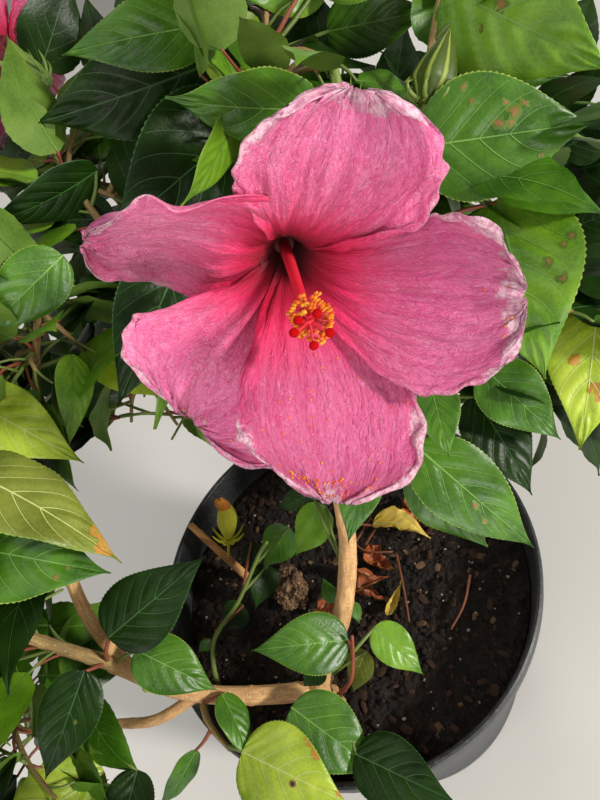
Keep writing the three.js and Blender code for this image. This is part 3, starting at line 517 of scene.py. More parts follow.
def addVeins(shape, pairs, stations, index):
    # raised veins as thin strips just above and below the blade; |x| over 1.5 marks the midrib
    close = stations > 30
    for level, flip in ((1.9, False), (-0.6, True)):
        steps = max(6, stations // 2)
        midrib = bmesh.ops.create_grid(shape, x_segments=1, y_segments=steps, size=1)["verts"]
        for v in midrib:
            v.co = Vector((2.0 * v.co.x, (v.co.y + 1) / 2 * 0.97, level))
        made = list({f for v in midrib for f in v.link_faces})
        for k in range(pairs if close or not flip else 0):
            for side in (-1, 1):
                strip = bmesh.ops.create_grid(shape, x_segments=1, y_segments=16 if close else 5,
                                              size=1)["verts"]
                for v in strip:
                    t = (v.co.y + 1) / 2 * 0.93
                    wide = veins["half"] * (1.2 - 0.9 * t) * v.co.x * side
                    v.co = Vector((side * (t + 0.35 * wide), veinPath(veinStart(k), t) - wide, level))
                made += list({f for v in strip for f in v.link_faces})
        for f in made:
            f.material_index = index
        if flip:
            bmesh.ops.reverse_faces(shape, faces=made)
        if pairs == 0 and not flip:
            break


class Gather:
    # joins many bent templates into one shape
    def __init__(self):
        self.shape = bmesh.new()
        self.uv = self.shape.loops.layers.uv.new("UVMap")

    def add(self, template, points, material=None, stretch=None):
        mesh = template.copy()
        mesh.vertices.foreach_set("co", [c for p in points for c in p])
        if material is not None:
            mesh.polygons.foreach_set("material_index", [material] * len(mesh.polygons))
        if stretch is not None:
            layer = mesh.uv_layers[0].data
            flat = [0.0] * (len(layer) * 2)
            layer.foreach_get("uv", flat)
            flat[1::2] = [c * stretch for c in flat[1::2]]
            layer.foreach_set("uv", flat)
        self.shape.from_mesh(mesh)
        bpy.data.meshes.remove(mesh)


tubes = {}


def bendLimb(gather, run, radius, sides, steps, material=0, relief=None, start=0.0, end=1.0):
    key = (sides, steps)
    if key not in tubes:
        tubes[key] = tubeTemplate(sides, steps)
    template, places = tubes[key]
    rings = []
    across = run.way(start).orthogonal().normalized()
    for i in range(steps + 1):
        t = start + (end - start) * i / steps
        way = run.way(t)
        across = (across - way * across.dot(way)).normalized()
        rings.append((run.at(t), across, way.cross(across), radius(t), way, t))
    points = []
    for x, y, z in places:
        here, side, other, r, way, t = rings[min(steps, round(min(z, 1) * steps))]
        if z > 1.2:
            points.append(here + way * r * 0.5)
            continue
        if relief:
            r *= relief(t * run.length, math.atan2(y, x))
        points.append(here + side * (x * r) + other * (y * r))
    gather.add(template, points, material, run.length * (end - start) * 0.001)


# limbs
potSizes = {
    "height": 241, "topRadius": 140, "footRadius": 115, "wall": 2.4, "rimHeight": 16, "rimStep": 3,
    "soilTop": 215, "turns": 120,
}
trunk = {
    "path": [(-47, -74, 215.3), (-47, -72, 223), (-46, -69, 238)],
    "foot": 11, "top": 7.6, "lobes": 0.14,
}
# points, radius at the start and at the tip
boughs = {
    "bough_main": ([(-46, -68, 234), (-9, -42, 262), (14, -24, 300), (30, -5, 352), (43, 18, 400),
                    (50, 32, 432)], 7, 4.4),
    "bough_left": ([(-50, -68, 231), (-88, -58, 251), (-121, -46, 282), (-143, -28, 322)], 6.6, 5),
    "bough_left_low": ([(-112, -50, 273), (-146, -50, 268), (-176, -38, 262), (-204, -28, 266)],
                       4, 2.8),
    "bough_front": ([(-48, -74, 226), (-66, -92, 239), (-84, -117, 252), (-104, -146, 280)],
                    4.6, 3.4),
    "bough_back_left": ([(-136, -34, 309), (-143, -6, 340), (-137, 32, 372), (-116, 68, 402)],
                        4.4, 3.4),
    "bough_back": ([(28, -8, 346), (6, 34, 364), (-18, 70, 370), (-40, 98, 364)], 4.6, 3.4),
    "bough_back_up": ([(38, 10, 380), (24, 46, 396), (2, 86, 418), (-14, 112, 440)], 4.4, 3.2),
    "bough_back_right": ([(42, 18, 398), (66, 58, 404), (96, 98, 408), (116, 134, 416)], 4.2, 3.2),
    "bough_right": ([(40, 8, 384), (76, 14, 400), (112, 30, 420), (132, 48, 446)], 4.2, 3.4),
    "bough_right_low": ([(24, -14, 328), (46, -8, 338), (68, -2, 346)], 3.8, 3),
    "dry_shoot": ([(-71, 35, 207), (-76, 46, 231), (-83, 60, 247), (-92, 79, 262)], 3.6, 2.6),
}


# from node to node along a limb
nodeGap = 31


def barkRelief(seed):
    # swellings at the nodes, slow lumps and fine ridges along the limb
    def relief(distance, turn):
        lumps = rough(math.cos(turn) * 1.4, math.sin(turn) * 1.4, distance * 0.05 + seed)
        node = max(0.0, math.cos(distance * 2 * math.pi / nodeGap + seed)) ** 24
        ridge = rough(turn * 3.1, distance * 0.02, seed)
        return 1 + 0.1 * node + 0.06 * lumps + 0.03 * ridge
    return relief


def makeBark():
    gather = Gather()
    run = Run(trunk["path"])

    def flare(t):
        return trunk["top"] + (trunk["foot"] - trunk["top"]) * (1 - t) ** 2.2

    def lobed(distance, turn):
        t = distance / run.length
        return 1 + trunk["lobes"] * (1 - t) ** 2 * math.cos(5 * turn) + 0.03 * math.sin(3 * turn)
    bendLimb(gather, run, flare, 28, 12, 0, lobed)
    for number, (name, (points, first, last)) in enumerate(boughs.items()):
        run = Run(points)
        dry = name == "dry_shoot"
        bendLimb(gather, run, lambda t: first + (last - first) * t ** 0.8, 20,
                 int(run.length / 2.4), 1 if dry else 0, barkRelief(number * 3.7))
    dryWood = barkFinish("dryWood", (200, 136, 78), (236, 178, 112), (236, 200, 150))
    finishPiece("barkLimbs", gather.shape, [barkTan, dryWood],
                ["trunk"] + list(boughs))


makeBark()
print("trunk and boughs made")


# the growing rule, as the solids were grown
rule = {
    "gap": 0.3, "limbRoom": 5, "sight": (32, -204, 650), "crown": (0, 20, 390), "spiral": 2.399963,
    "leaves": {"passes": 7, "seed": 1000, "more": 0, "room": 8.5, "sized": 1.0, "kind": "rule"},
    "openings": [((56, -30, 505), 98), ((60, -40, 225), 104), ((20, -20, 300), 62),
                 ((-66, -50, 262), 56), ((-120, -30, 320), 60), ((40, -90, 232), 90),
                 ((-70, -90, 240), 60)],
}
# stem: from the bough's tip; middle and reach: the room a mass keeps to; set: foot, tip, width over
# length, turn and tint of the leaves whose place is fixed; the darkest tint paints shade on leaves in
# shade
masses = {
    "foliage_top": {
        "bough": "bough_main", "stem": [(66, 66, 474), (88, 112, 508), (112, 156, 536)],
        "radii": (4, 2), "middle": (96, 132, 520), "reach": (92, 84, 66), "most": 22, "twigs": 7,
        "seed": 11, "set": {
            "overLeft": ((105, 79, 514), (41, 103, 541), 0.5, 20, "leafGreen"),
            "topLeft": ((81, 157, 543), (6, 163, 561), 0.46, -10, "leafGreen"),
            "farLeft": ((77, 155, 528), (-28, 167, 538), 0.5, 10, "leafDeepAndShaded"),
            "topMid": ((152, 160, 540), (95, 150, 556), 0.6, 0, "leafFresh"),
            "shadeBig": ((83, 140, 498), (-20, 112, 488), 0.66, 0, "leafDeepAndShaded"),
            "slimLight": ((71, 102, 521), (25, 80, 501), 0.5, 50, "leafFresh"),
            "topBack": ((150, 180, 505), (206, 150, 500), 0.55, 0, "leafGreen"),
            "topNear": ((142, 150, 546), (196, 118, 540), 0.55, 0, "leafFresh"),
        },
    },
    "foliage_right_top": {
        "bough": "bough_right", "stem": [(146, 62, 476), (168, 86, 504), (196, 112, 530)],
        "radii": (3.2, 1.8), "middle": (186, 66, 480), "reach": (70, 76, 64), "most": 15,
        "twigs": 5, "seed": 23, "bud": ((151, 59, 500), (174, 73, 520), 10.5), "set": {
            "rightUpper": ((139, 50, 488), (211, 16, 478), 0.7, 0, "leafGreen"),
            "rightLower": ((172, 39, 445), (147, -37, 390), 0.7, 0, "leafFresh"),
            "rightTop": ((194, 104, 523), (227, 24, 491), 0.62, 0, "leafFresh"),
            "rightFar": ((180, 110, 500), (238, 70, 470), 0.6, 0, "leafGreen"),
        },
    },
    "foliage_right_low": {
        "bough": "bough_right_low", "stem": [(104, 6, 362), (142, 12, 376), (186, 14, 388)],
        "radii": (2.8, 1.8), "middle": (150, 14, 352), "reach": (84, 74, 62), "most": 20,
        "twigs": 6, "seed": 37, "set": {
            "underSmall": ((101, 2, 382), (89, -35, 362), 0.6, 0, "leafGreen"),
            "underRight": ((134, 2, 370), (152, -44, 337), 0.62, 0, "leafGreen"),
            "underDark": ((127, 6, 344), (129, -50, 303), 0.6, 15, "leafDeepAndShaded"),
            "pairLong": ((78, -15, 357), (112, -79, 299), 0.48, 0, "leafGreen"),
            "pairShort": ((76, -16, 342), (90, -62, 292), 0.6, -15, "leafGreen"),
            "rightEdge": ((206, 0, 372), (155, -56, 340), 0.6, 10, "leafLime"),
            "underTip": ((52, -12, 372), (18, -44, 346), 0.5, 0, "leafGreen"),
        },
    },
    "foliage_left": {
        "bough": "bough_left", "stem": [(-160, -18, 356), (-172, -10, 388), (-182, 2, 424)],
        "radii": (4.4, 2.2), "middle": (-190, -6, 384), "reach": (76, 76, 82), "most": 20,
        "twigs": 6, "seed": 41, "set": {
            "limbUp": ((-126, -30, 353), (-55, -24, 371), 0.56, 0, "leafDeepAndShaded"),
            "limbDown": ((-121, -34, 334), (-90, -66, 304), 0.6, 0, "leafGreen"),
            "limbHang": ((-150, -34, 340), (-195, -72, 318), 0.54, 0, "leafDeepAndShaded"),
            "paleUnder": ((-128, 22, 470), (-74, -40, 428), 0.42, 25, "leafOlive"),
            "leftNear": ((-151, 6, 436), (-89, -34, 414), 0.6, 0, "leafGreen"),
        },
    },
    "foliage_left_low": {
        "bough": "bough_left_low", "stem": [(-228, -22, 280), (-246, -14, 304)],
        "radii": (2.6, 1.6), "middle": (-214, -36, 288), "reach": (66, 76, 50), "most": 14,
        "twigs": 4, "seed": 53, "set": {
            "bigPale": ((-190, -62, 262), (-262, -84, 296), 0.6, 0, "leafLime"),
            "limbDark": ((-168, -70, 262), (-196, -118, 262), 0.55, 0, "leafDeepAndShaded"),
        },
    },
    "foliage_front": {
        "bough": "bough_front", "stem": [(-112, -166, 316), (-114, -178, 346)], "radii": (3, 1.8),
        "middle": (-110, -168, 322), "reach": (84, 70, 60), "most": 16, "twigs": 5, "seed": 61,
        "set": {},
    },
    "foliage_limb": {
        "bough": None, "stem": [(-112, -57, 273), (-112, -66, 273), (-110, -76, 268), (-106, -86, 262)],
        "radii": (2.4, 1.4), "middle": (-112, -84, 262), "reach": (54, 44, 26), "most": 8, "twigs": 0,
        "seed": 67, "set": {
            "frontBright": ((-98, -91, 267), (-51, -138, 253), 0.72, 0, "leafLime"),
            "frontSmall": ((-98, -58, 276), (-96, -98, 262), 0.5, 30, "leafGreen"),
            "frontSlim": ((-130, -74, 256), (-168, -92, 244), 0.36, 30, "leafGreen"),
        },
    },
    "foliage_foot": {
        "bough": None, "stem": [(-38, -78, 232), (-24, -78, 246), (-14, -70, 262), (-8, -64, 276)],
        "radii": (2.6, 1.5), "middle": (-10, -70, 262), "reach": (40, 40, 30), "most": 8, "twigs": 0,
        "seed": 71, "set": {
            "stemLeft": ((-12, -62, 268), (-67, -49, 292), 0.6, 0, "leafGreen"),
            "stemRight": ((6, -60, 262), (20, -94, 240), 0.58, 0, "leafFresh"),
            "frontMid": ((-62, -80, 262), (-30, -130, 234), 0.66, 0, "leafGreen"),
            "frontDark": ((-38, -116, 246), (4, -160, 244), 0.62, 0, "leafDeepAndShaded"),
        },
    },
    "foliage_back_left": {
        "bough": "bough_back_left", "stem": [(-104, 90, 434), (-86, 102, 460), (-66, 112, 484)],
        "radii": (3.2, 1.8), "middle": (-106, 112, 446), "reach": (90, 84, 78), "most": 22,
        "twigs": 7, "seed": 83, "set": {
            "leftBright": ((-127, 75, 466), (-86, 27, 428), 0.5, 0, "leafLime"),
            "leftOuter": ((-44, 104, 496), (-102, 88, 486), 0.55, 0, "leafGreen"),
            "leftSmall": ((-70, 84, 452), (-94, 48, 424), 0.45, 30, "leafFresh"),
        },
    },
    "foliage_back_up": {
        "bough": "bough_back_up", "stem": [(-20, 130, 468), (-26, 156, 494), (-30, 184, 520)],
        "radii": (3, 1.8), "middle": (-20, 158, 474), "reach": (70, 74, 74), "most": 20,
        "twigs": 6, "seed": 97, "set": {
            "shadeLong": ((10, 106, 462), (-60, 52, 430), 0.52, 0, "leafDeepAndShaded"),
            "slimStrip": ((-6, 100, 446), (-46, 40, 410), 0.34, 40, "leafFresh"),
            "underLeft": ((2, 84, 426), (-20, 20, 392), 0.52, 0, "leafFresh"),
            "edgeLeft": ((-10, 158, 505), (-78, 140, 512), 0.45, 35, "leafDeepAndShaded"),
            "deepLeft": ((-16, 150, 478), (-62, 168, 492), 0.62, 0, "leafDeepAndShaded"),
        },
    },
    "foliage_back": {
        "bough": "bough_back", "stem": [(-54, 118, 374), (-64, 142, 388), (-70, 168, 400)],
        "radii": (3.2, 1.8), "middle": (-46, 138, 352), "reach": (98, 76, 58), "most": 22,
        "twigs": 8, "seed": 103, "set": {},
    },
    "foliage_back_right": {
        "bough": "bough_back_right", "stem": [(130, 150, 430), (144, 166, 444), (156, 180, 462)],
        "radii": (3, 1.8), "middle": (112, 146, 404), "reach": (92, 80, 68), "most": 22,
        "twigs": 8, "seed": 113, "set": {},
    },
}
# heart: where the petals meet; face: the way the bloom looks; petals: turn round the face, how far
# one opens, curl of its end, roll, sweep, length, half width and cup


def evenPetals(length, halfWidth):
    return [(k * 72 + 20, 78, 16, 24, 12, length, halfWidth, 0.12) for k in range(5)]


blooms = {
    "bloom_front": {
        "heart": (56.2, 9, 503.3), "face": (-0.141, -0.965, 0.22), "column": 72, "droop": 1,
        "petals": [(319, 60, 15, 2, 14, 87, 34, 0.33), (43, 91, -21, -54, 27, 87, 51, 0.16),
                   (135, 71, 29, 5, -25, 90, 48, 0.24), (171, 60, -38, -28, -14, 110, 44, 0.3),
                   (234, 67, 1, -3, 28, 103, 36, 0.28)],
        "stalk": [(44, 14, 404), (44, 18, 436), (50, 28, 470)], "mass": None, "grid": (84, 60),
    },
    "bloom_back": {
        "heart": (-23, 230, 550), "face": (-0.52, 0.72, 0.46), "column": 60, "droop": 0,
        "petals": evenPetals(68, 34), "stalk": [(-28, 204, 532)], "mass": "foliage_back_up",
        "grid": (20, 24),
    },
    "bloom_right": {
        "heart": (238, 132, 536), "face": (0.8, 0.42, 0.43), "column": 60, "droop": 0,
        "petals": evenPetals(66, 33), "stalk": [(214, 124, 533)], "mass": "foliage_right_top",
        "grid": (20, 24),
    },
}


class Crowd:
    # points already taken, kept in boxes so that near ones are found fast
    def __init__(self, cell):
        self.cell = cell
        self.boxes = {}

    def key(self, p):
        return tuple(int(math.floor(c / self.cell)) for c in p)

    def add(self, p, radius=0.0, owner=None):
        self.boxes.setdefault(self.key(p), []).append((p[0], p[1], p[2], radius, owner))

    def near(self, p, room, owner=None):
        kx, ky, kz = self.key(p)
        px, py, pz = p
        for x in (kx - 1, kx, kx + 1):
            for y in (ky - 1, ky, ky + 1):
                for z in (kz - 1, kz, kz + 1):
                    for qx, qy, qz, radius, who in self.boxes.get((x, y, z), ()):
                        far = room + radius - (2 if who == owner else 0)
                        if (px - qx) ** 2 + (py - qy) ** 2 + (pz - qz) ** 2 < far * far:
                            return True
        return False


limbCrowd = Crowd(16)
leafCrowd = Crowd(9)


def noteLimb(run, first, last):
    steps = math.ceil(run.length / 6)
    for i in range(steps + 1):
        limbCrowd.add(run.at(i / steps), first + (last - first) * i / steps, "limb")


def bladeOutline(u):
    u = clamp(u, 0, 1)
    return max(0.0, math.sin(math.pi * u ** 0.62)) ** (0.7 + 0.6 * u)


class Leaf:
    # a leaf's frame: foot, the way it runs, the way its face looks and its side
    def __init__(self, foot, tip, facing, turn, ratio=0.6, tint=None, kind=None):
        self.foot = foot
        along = tip - foot
        self.length = along.length
        self.along = along.normalized()
        normal = (facing - self.along * facing.dot(self.along)).normalized()
        side = normal.cross(self.along)
        self.n = between(normal, side, math.radians(turn))
        self.s = self.n.cross(self.along)
        self.arch, self.fold, self.ratio = 0.05, 0.12, ratio
        self.tint, self.kind, self.key, self.roll = tint, kind, None, 0

    def at(self, u, v, outline):
        w = 0.5 * self.length * self.ratio * outline
        rise = self.arch * self.length * 4 * u * (1 - u) + self.fold * abs(v) * w
        return self.foot + self.along * (self.length * u) + self.s * (v * w) + self.n * rise

    def samples(self):
        found = [self.at(u, k / 2, wide) for u, wide in sampleStations for k in range(-2, 3)]
        return found + [self.root.lerp(self.foot, i / 4) for i in range(1, 5)]


sampleStations = [(0.03 + 0.16 * i, bladeOutline(0.03 + 0.16 * i)) for i in range(7)]
sight = Vector(rule["sight"])
sightLines = []


def keepOpen(middle, radius):
    line = Vector(middle) - sight
    sightLines.append((line, line.length_squared, radius))


for middle, radius in rule["openings"]:
    keepOpen(middle, radius)


def inOpening(p):
    for line, squared, radius in sightLines:
        away = p - sight
        t = away.dot(line) / squared
        if -0.3 < t < 0.96 and (away - line * t).length < radius * max(t, 0.25) + 2:
            return True
    return False


def hitsPot(p):
    r = math.hypot(p.x, p.y)
    return p.z < 226 or (p.z < 250 and 118 < r < 150)


def inRoom(mass, p, slack):
    return sum(((c - m) / r) ** 2 for c, m, r in zip(p, mass["middle"], mass["reach"])) < slack


def bloomFrame(bloom):
    face = Vector(bloom["face"]).normalized()
    up = (Vector((0, 0, 1)) - face * face.z).normalized()
    return Vector(bloom["heart"]), face, up, face.cross(up)


def petalSpine(bloom, petal):
    # where each part of a petal's middle line is, with its frame
    turn, opens, curl, roll, sweep, length = petal[:6]
    heart, face, up, side = bloomFrame(bloom)
    fine = 40
    spine = []
    for i in range(fine + 1):
        s = i / fine
        lean = math.radians(14 + (opens - 14) * smooth(s / 0.55)
                            + curl * clamp((s - 0.5) / 0.5, 0, 1) ** 1.3)
        angle = math.radians(turn + sweep * smooth((s - 0.15) / 0.85))
        out = between(up, side, angle)
        around = side * math.cos(angle) - up * math.sin(angle)
        along = out * math.sin(lean) + face * math.cos(lean)
        normal = face * math.sin(lean) - out * math.cos(lean)
        twist = math.radians(roll) * smooth((s - 0.1) / 0.6)
        across = between(around, normal, twist)
        lift = normal * math.cos(twist) - around * math.sin(twist)
        if i == 0:
            place = heart + out * 4
        else:
            place = place + (last[1] + along) * (length / fine / 2)
        last = (place, along, across, lift)
        spine.append(last)
    return spine


def petalAt(spine, petal, s, v):
    fine = len(spine) - 1
    x = clamp(s, 0, 1) * fine
    i = min(fine - 1, int(x))
    f = x - i
    place, across, lift = (spine[i][k].lerp(spine[i + 1][k], f) for k in (0, 2, 3))
    end = clamp((s - 0.66) / 0.34, 0, 1)
    outline = (0.08 + 0.92 * smooth(s / 0.75)) * max(0.0, 1 - end ** 2.6) ** (1 / 2.2)
    w = petal[6] * max(outline, 0.05)
    return place + across * (v * w) + lift * (petal[7] * w * v * v), lift, w


# limbs first, in the order the solids note them
noteLimb(Run(trunk["path"]), 10, 8)
for points, first, last in boughs.values():
    noteLimb(Run(points), first, last)
for mass in masses.values():
    points = [Vector(p) for p in mass["stem"]]
    if mass["bough"]:
        run = Run(boughs[mass["bough"]][0])
        points.insert(0, run.at(1) - run.way(1) * 1.5)
    mass["run"] = Run(points)
for bloom in blooms.values():
    bloom["spines"] = [petalSpine(bloom, petal) for petal in bloom["petals"]]
    for spine, petal in zip(bloom["spines"], bloom["petals"]):
        for i in range(1, 8):
            for k in range(-3, 4):
                leafCrowd.add(petalAt(spine, petal, i / 7, k / 3)[0])
    heart, face = bloomFrame(bloom)[:2]
    stalk = [Vector(p) for p in bloom["stalk"]] + [heart - face * 20]
    if bloom["mass"]:
        end = masses[bloom["mass"]]["run"]
        stalk = [end.at(1) + end.way(1) * (rule["gap"] * 1.3), end.at(1) + end.way(1) * 6] + stalk
    bloom["stalkRun"] = Run(stalk)
    noteLimb(bloom["stalkRun"], 2.4, 2.6)
for mass in masses.values():
    mass["leaves"], mass["twigRuns"] = [], []
    noteLimb(mass["run"], *mass["radii"])


def nearestOn(run, p):
    best = min(range(31), key=lambda i: (run.at(i / 30) - p).length)
    return run.at(clamp(best - 4, 0, 30) / 30)


def takeLeaf(name, mass, leaf, samples):
    mass["leaves"].append(leaf)
    for q in samples:
        leafCrowd.add(q, 0.0, name)


for name, mass in masses.items():
    for key, (foot, tip, ratio, turn, tint) in mass["set"].items():
        foot, tip = Vector(foot), Vector(tip)
        facing = (sight - foot.lerp(tip, 0.5)).normalized()
        leaf = Leaf(foot, tip, facing, turn, ratio, tint, "near")
        leaf.root = nearestOn(mass["run"], foot)
        leaf.key = key
        takeLeaf(name, mass, leaf, leaf.samples())
        keepOpen(foot.lerp(tip, 0.5), 0.26 * leaf.length)
    if "bud" in mass:
        foot, tip, radius = mass["bud"]
        noteLimb(Run([foot, tip]), radius, radius)
        keepOpen(Vector(foot).lerp(Vector(tip), 0.5), 2 * radius)

# twigs: how far the middle lifts, the room to leaves and limbs, how many samples stand free of
# that by the foot, and the radii
twigKinds = {
    "main": {"lift": 6, "leafRoom": 5, "limbRoom": 5, "free": 2, "radii": (1.7, 1.1)},
    "side": {"lift": 3, "leafRoom": 3.4, "limbRoom": 3, "free": 3, "radii": (1.3, 0.9)},
}


def growTwig(mass, start, tip, kind):
    # keeps a twig unless it would cross an open view, the pot, a leaf or a limb
    bend = start.lerp(tip, 0.5)
    bend.z += kind["lift"]
    run = Run([start, bend, tip])
    along = [run.at(i / 8) for i in range(2, 9)]
    if any(inOpening(p) or hitsPot(p) or leafCrowd.near(p, kind["leafRoom"]) for p in along):
        return
    if not any(limbCrowd.near(p, kind["limbRoom"]) for p in along[kind["free"]:]):
        mass["twigRuns"].append(run)
        noteLimb(run, *kind["radii"])


# the main twigs reach from the stem towards evenly spread spots of the mass's room
for mass in masses.values():
    draw = seededNumbers(mass["seed"])
    for k in range(mass["twigs"]):
        a = k * rule["spiral"] + draw() * 0.5
        h = 0.85 - 1.5 * (k + 0.5) / mass["twigs"]
        ring = math.sqrt(1 - h * h)
        spread = (ring * math.cos(a), ring * math.sin(a), h)
        tip = Vector([m + 0.46 * r * c for m, r, c in zip(mass["middle"], mass["reach"], spread)])
        growTwig(mass, mass["run"].at(0.35 + 0.6 * draw()), tip, twigKinds["main"])


# a leaf of the rule: length at the stem, how much shorter at the tip, and what a draw may add
ruleShape = {
    "length": (86, 30, 16), "stalk": (12, 20, 10), "ratio": (0.56, 0.12), "arch": (0.06, 0.05),
    "fold": (0.1, 0.16), "droop": (0.25, 0.25), "tilt": 50,
}


def vary(draw, least, more):
    return least + more * draw()


def ruleLeaf(run, index, k, count, draw, sized):
    # leaves stand along stem and twigs on a spiral, larger below than at the tip
    t = min(1, 0.16 + 0.86 * (k + 0.6) / count)
    root = run.at(t)
    grow = run.way(t)
    spin = k * rule["spiral"] + index * 1.3 + draw() * 0.6
    level = Vector((-grow.y, grow.x, 0))
    if level.length < 0.1:
        level = Vector((1, 0, 0))
    level.normalize()
    out = between(level, grow.cross(level), spin)
    spread = 0.4 if t > 0.93 else 1
    size = vary(draw, ruleShape["length"][0] - ruleShape["length"][1] * t, ruleShape["length"][2])
    stalk = vary(draw, ruleShape["stalk"][0] + ruleShape["stalk"][1] * (1 - t), ruleShape["stalk"][2])
    foot = root + (out * spread + grow * 0.75).normalized() * (stalk * sized)
    outward = (foot - Vector(rule["crown"])).normalized()
    way = out * spread + grow * 0.4 + outward * 0.6
    way.z -= vary(draw, *ruleShape["droop"])
    facing = (Vector((0, 0, 0.9)) + outward * 0.55).normalized()
    tip = foot + way.normalized() * (size * sized)
    leaf = Leaf(foot, tip, facing, (draw() - 0.5) * ruleShape["tilt"])
    leaf.ratio = vary(draw, *ruleShape["ratio"])
    leaf.arch = vary(draw, *ruleShape["arch"])
    leaf.fold = vary(draw, *ruleShape["fold"])
    leaf.root = root
    return leaf


def dealTint(draw, leaf):
    # tints are dealt at random, but leaves whose foot is above 440 draw the lighter tints more often:
    # painted shade low in the crown and painted light at its top
    share = draw() + (0.12 if leaf.foot.z > 440 else 0)
    names = ("leafDeepAndShaded", "leafGreen", "leafFresh", "leafLime")
    return names[0 if share < 0.36 else 1 if share < 0.8 else 2 if share < 1.06 else 3]


def clear(mass, name, samples, leafRoom, limbRoom):
    # samples: 35 over the blade, of which 17 is the middle and 32 the tip, then 4 down the stalk
    if not inRoom(mass, samples[17], 1.15) or not inRoom(mass, samples[32], 2.1):
        return False
    if any(inOpening(p) or hitsPot(p) for p in samples):
        return False
    if any(leafCrowd.near(p, leafRoom, name) for p in samples):
        return False
    return not (any(limbCrowd.near(p, limbRoom) for p in samples[:35])
                or any(limbCrowd.near(p, 1.5) for p in samples[36:]))


# finer growth inside the same rooms: side twigs first, then smaller leaves that may stand closer
finer = {
    "sideTwigs": 2, "shortest": 34, "longer": 26, "turn": 6.283, "past": 5,
    "leaves": {"passes": 5, "seed": 2000, "more": 30, "room": 5.0, "sized": 0.9, "kind": "rule"},
    "smallLeaves": {"passes": 4, "seed": 3000, "more": 60, "room": 4.0, "sized": 0.66,
                    "kind": "small"},
}
lowest, highest = [[c * 1000 for c in corner] for corner in cadBox]


def inBox(p):
    # finer leaves keep to the box of the solids
    return all(a - finer["past"] < c < b + finer["past"] for a, c, b in zip(lowest, p, highest))


def growLeaves(growth):
    for number in range(growth["passes"]):
        for name, mass in masses.items():
            draw = seededNumbers(mass["seed"] + growth["seed"] + number)
            tints = seededNumbers(mass["seed"] * 7 + growth["seed"] + number)
            for index, run in enumerate([mass["run"]] + mass["twigRuns"]):
                count = max(4, int(run.length / 7 + 0.5))
                for k in range(count):
                    leaf = ruleLeaf(run, index + number, k, count, draw, growth["sized"])
                    if len(mass["leaves"]) >= mass["most"] + growth["more"]:
                        continue
                    samples = leaf.samples()
                    if growth["more"] and not all(inBox(p) for p in samples):
                        continue
                    if clear(mass, name, samples, growth["room"], rule["limbRoom"]):
                        leaf.tint, leaf.kind = dealTint(tints, leaf), growth["kind"]
                        takeLeaf(name, mass, leaf, samples)


growLeaves(rule["leaves"])
print("leaves as in the solids:", {name: len(mass["leaves"]) for name, mass in masses.items()})

for mass in masses.values():
    draw = seededNumbers(mass["seed"] + seeds["sideTwigs"])
    parents = [mass["run"]] + list(mass["twigRuns"])
    for index, run in enumerate(parents):
        for k in range(finer["sideTwigs"] * (2 if index == 0 else 1)):
            start = run.at(0.3 + 0.6 * draw())
            a, h = finer["turn"] * draw(), draw() * 1.2 - 0.3
            way = Vector((math.cos(a), math.sin(a), h)).normalized()
            tip = start + way * (finer["shortest"] + finer["longer"] * draw())
            if inRoom(mass, tip, 0.8):
                growTwig(mass, start, tip, twigKinds["side"])
growLeaves(finer["leaves"])
growLeaves(finer["smallLeaves"])

# bare ground shows past the left of the crown, so the back mass leaves it open
openGround = {"mass": "foliage_back", "middle": (-200, 440, 0), "spread": 0.1, "share": 0.5}


def overGround(leaf):
    line = Vector(openGround["middle"]) - sight
    samples = leaf.samples()
    over = sum((p - sight).angle(line) < openGround["spread"] for p in samples)
    return leaf.kind != "near" and over > openGround["share"] * len(samples)


openMass = masses[openGround["mass"]]
openMass["leaves"] = [leaf for leaf in openMass["leaves"] if not overGround(leaf)]
print("with finer growth:", {name: len(mass["leaves"]) for name, mass in masses.items()})


# leaves, stalks and twigs
leafGrids = {"near": (18, 60, 4), "rule": (8, 22, 3), "small": (4, 14, 0)}
leafTemplates = {}
# parts of the length, but for turns and the thickness; a pair is the least and what a draw may add
bladeShape = {
    "thick": 0.45, "wave": (0.006, 0.012), "waves": (1.6, 1.6), "turn": 6.28, "droop": (0.02, 0.06),
    "twist": 0.25, "crumple": 0.045, "dryCrumple": 0.12, "midrib": 0.0065,
    "puff": {"near": 0.015, "rule": 0.011, "small": 0},
}
# along, across and size of each mark on a blade, by leaf
wornSpots = {
    "rightUpper": [(0.457, 0.2, 0.024), (0.548, 0.4, 0.026), (0.605, 0.6, 0.014), (0.31, 0.58, 0.012),
                   (0.27, 0.82, 0.013), (0.53, 0.2, 0.015), (0.7, -0.7, 0.01), (0.5, 0.55, 0.012)],
    "rightLower": [(0.42, 0.48, 0.015), (0.53, 0.68, 0.016), (0.33, 0.84, 0.014), (0.14, 0.9, 0.016),
                   (0.08, 0.75, 0.01), (0.36, 0.72, 0.011)],
    "rightTop": [(0.35, 0.13, 0.02), (0.24, 0.17, 0.016), (0.3, -0.3, 0.012)],
    "leftNear": [(0.7, -0.5, 0.014), (0.75, -0.1, 0.01)],
    "limbHang": [(0.42, 0.3, 0.012)],
    "pairLong": [(0.5, -0.2, 0.016), (0.62, -0.4, 0.012)],
}
turnedSpots = {
    "paleUnder": [(0.97, 0.0, 0.05), (0.9, 0.55, 0.045), (0.9, -0.5, 0.035), (0.82, 0.85, 0.03)],
    "frontBright": [(0.52, 0.93, 0.03), (0.62, 0.9, 0.03), (0.9, 0.6, 0.025)],
    "rightEdge": [(0.6, 0.3, 0.05), (0.4, -0.4, 0.03)],
    "bigPale": [(0.3, 0.6, 0.05), (0.36, 0.3, 0.03)],
}
burntSpots = {"frontBright": [(0.52, -0.17, 0.022)]}
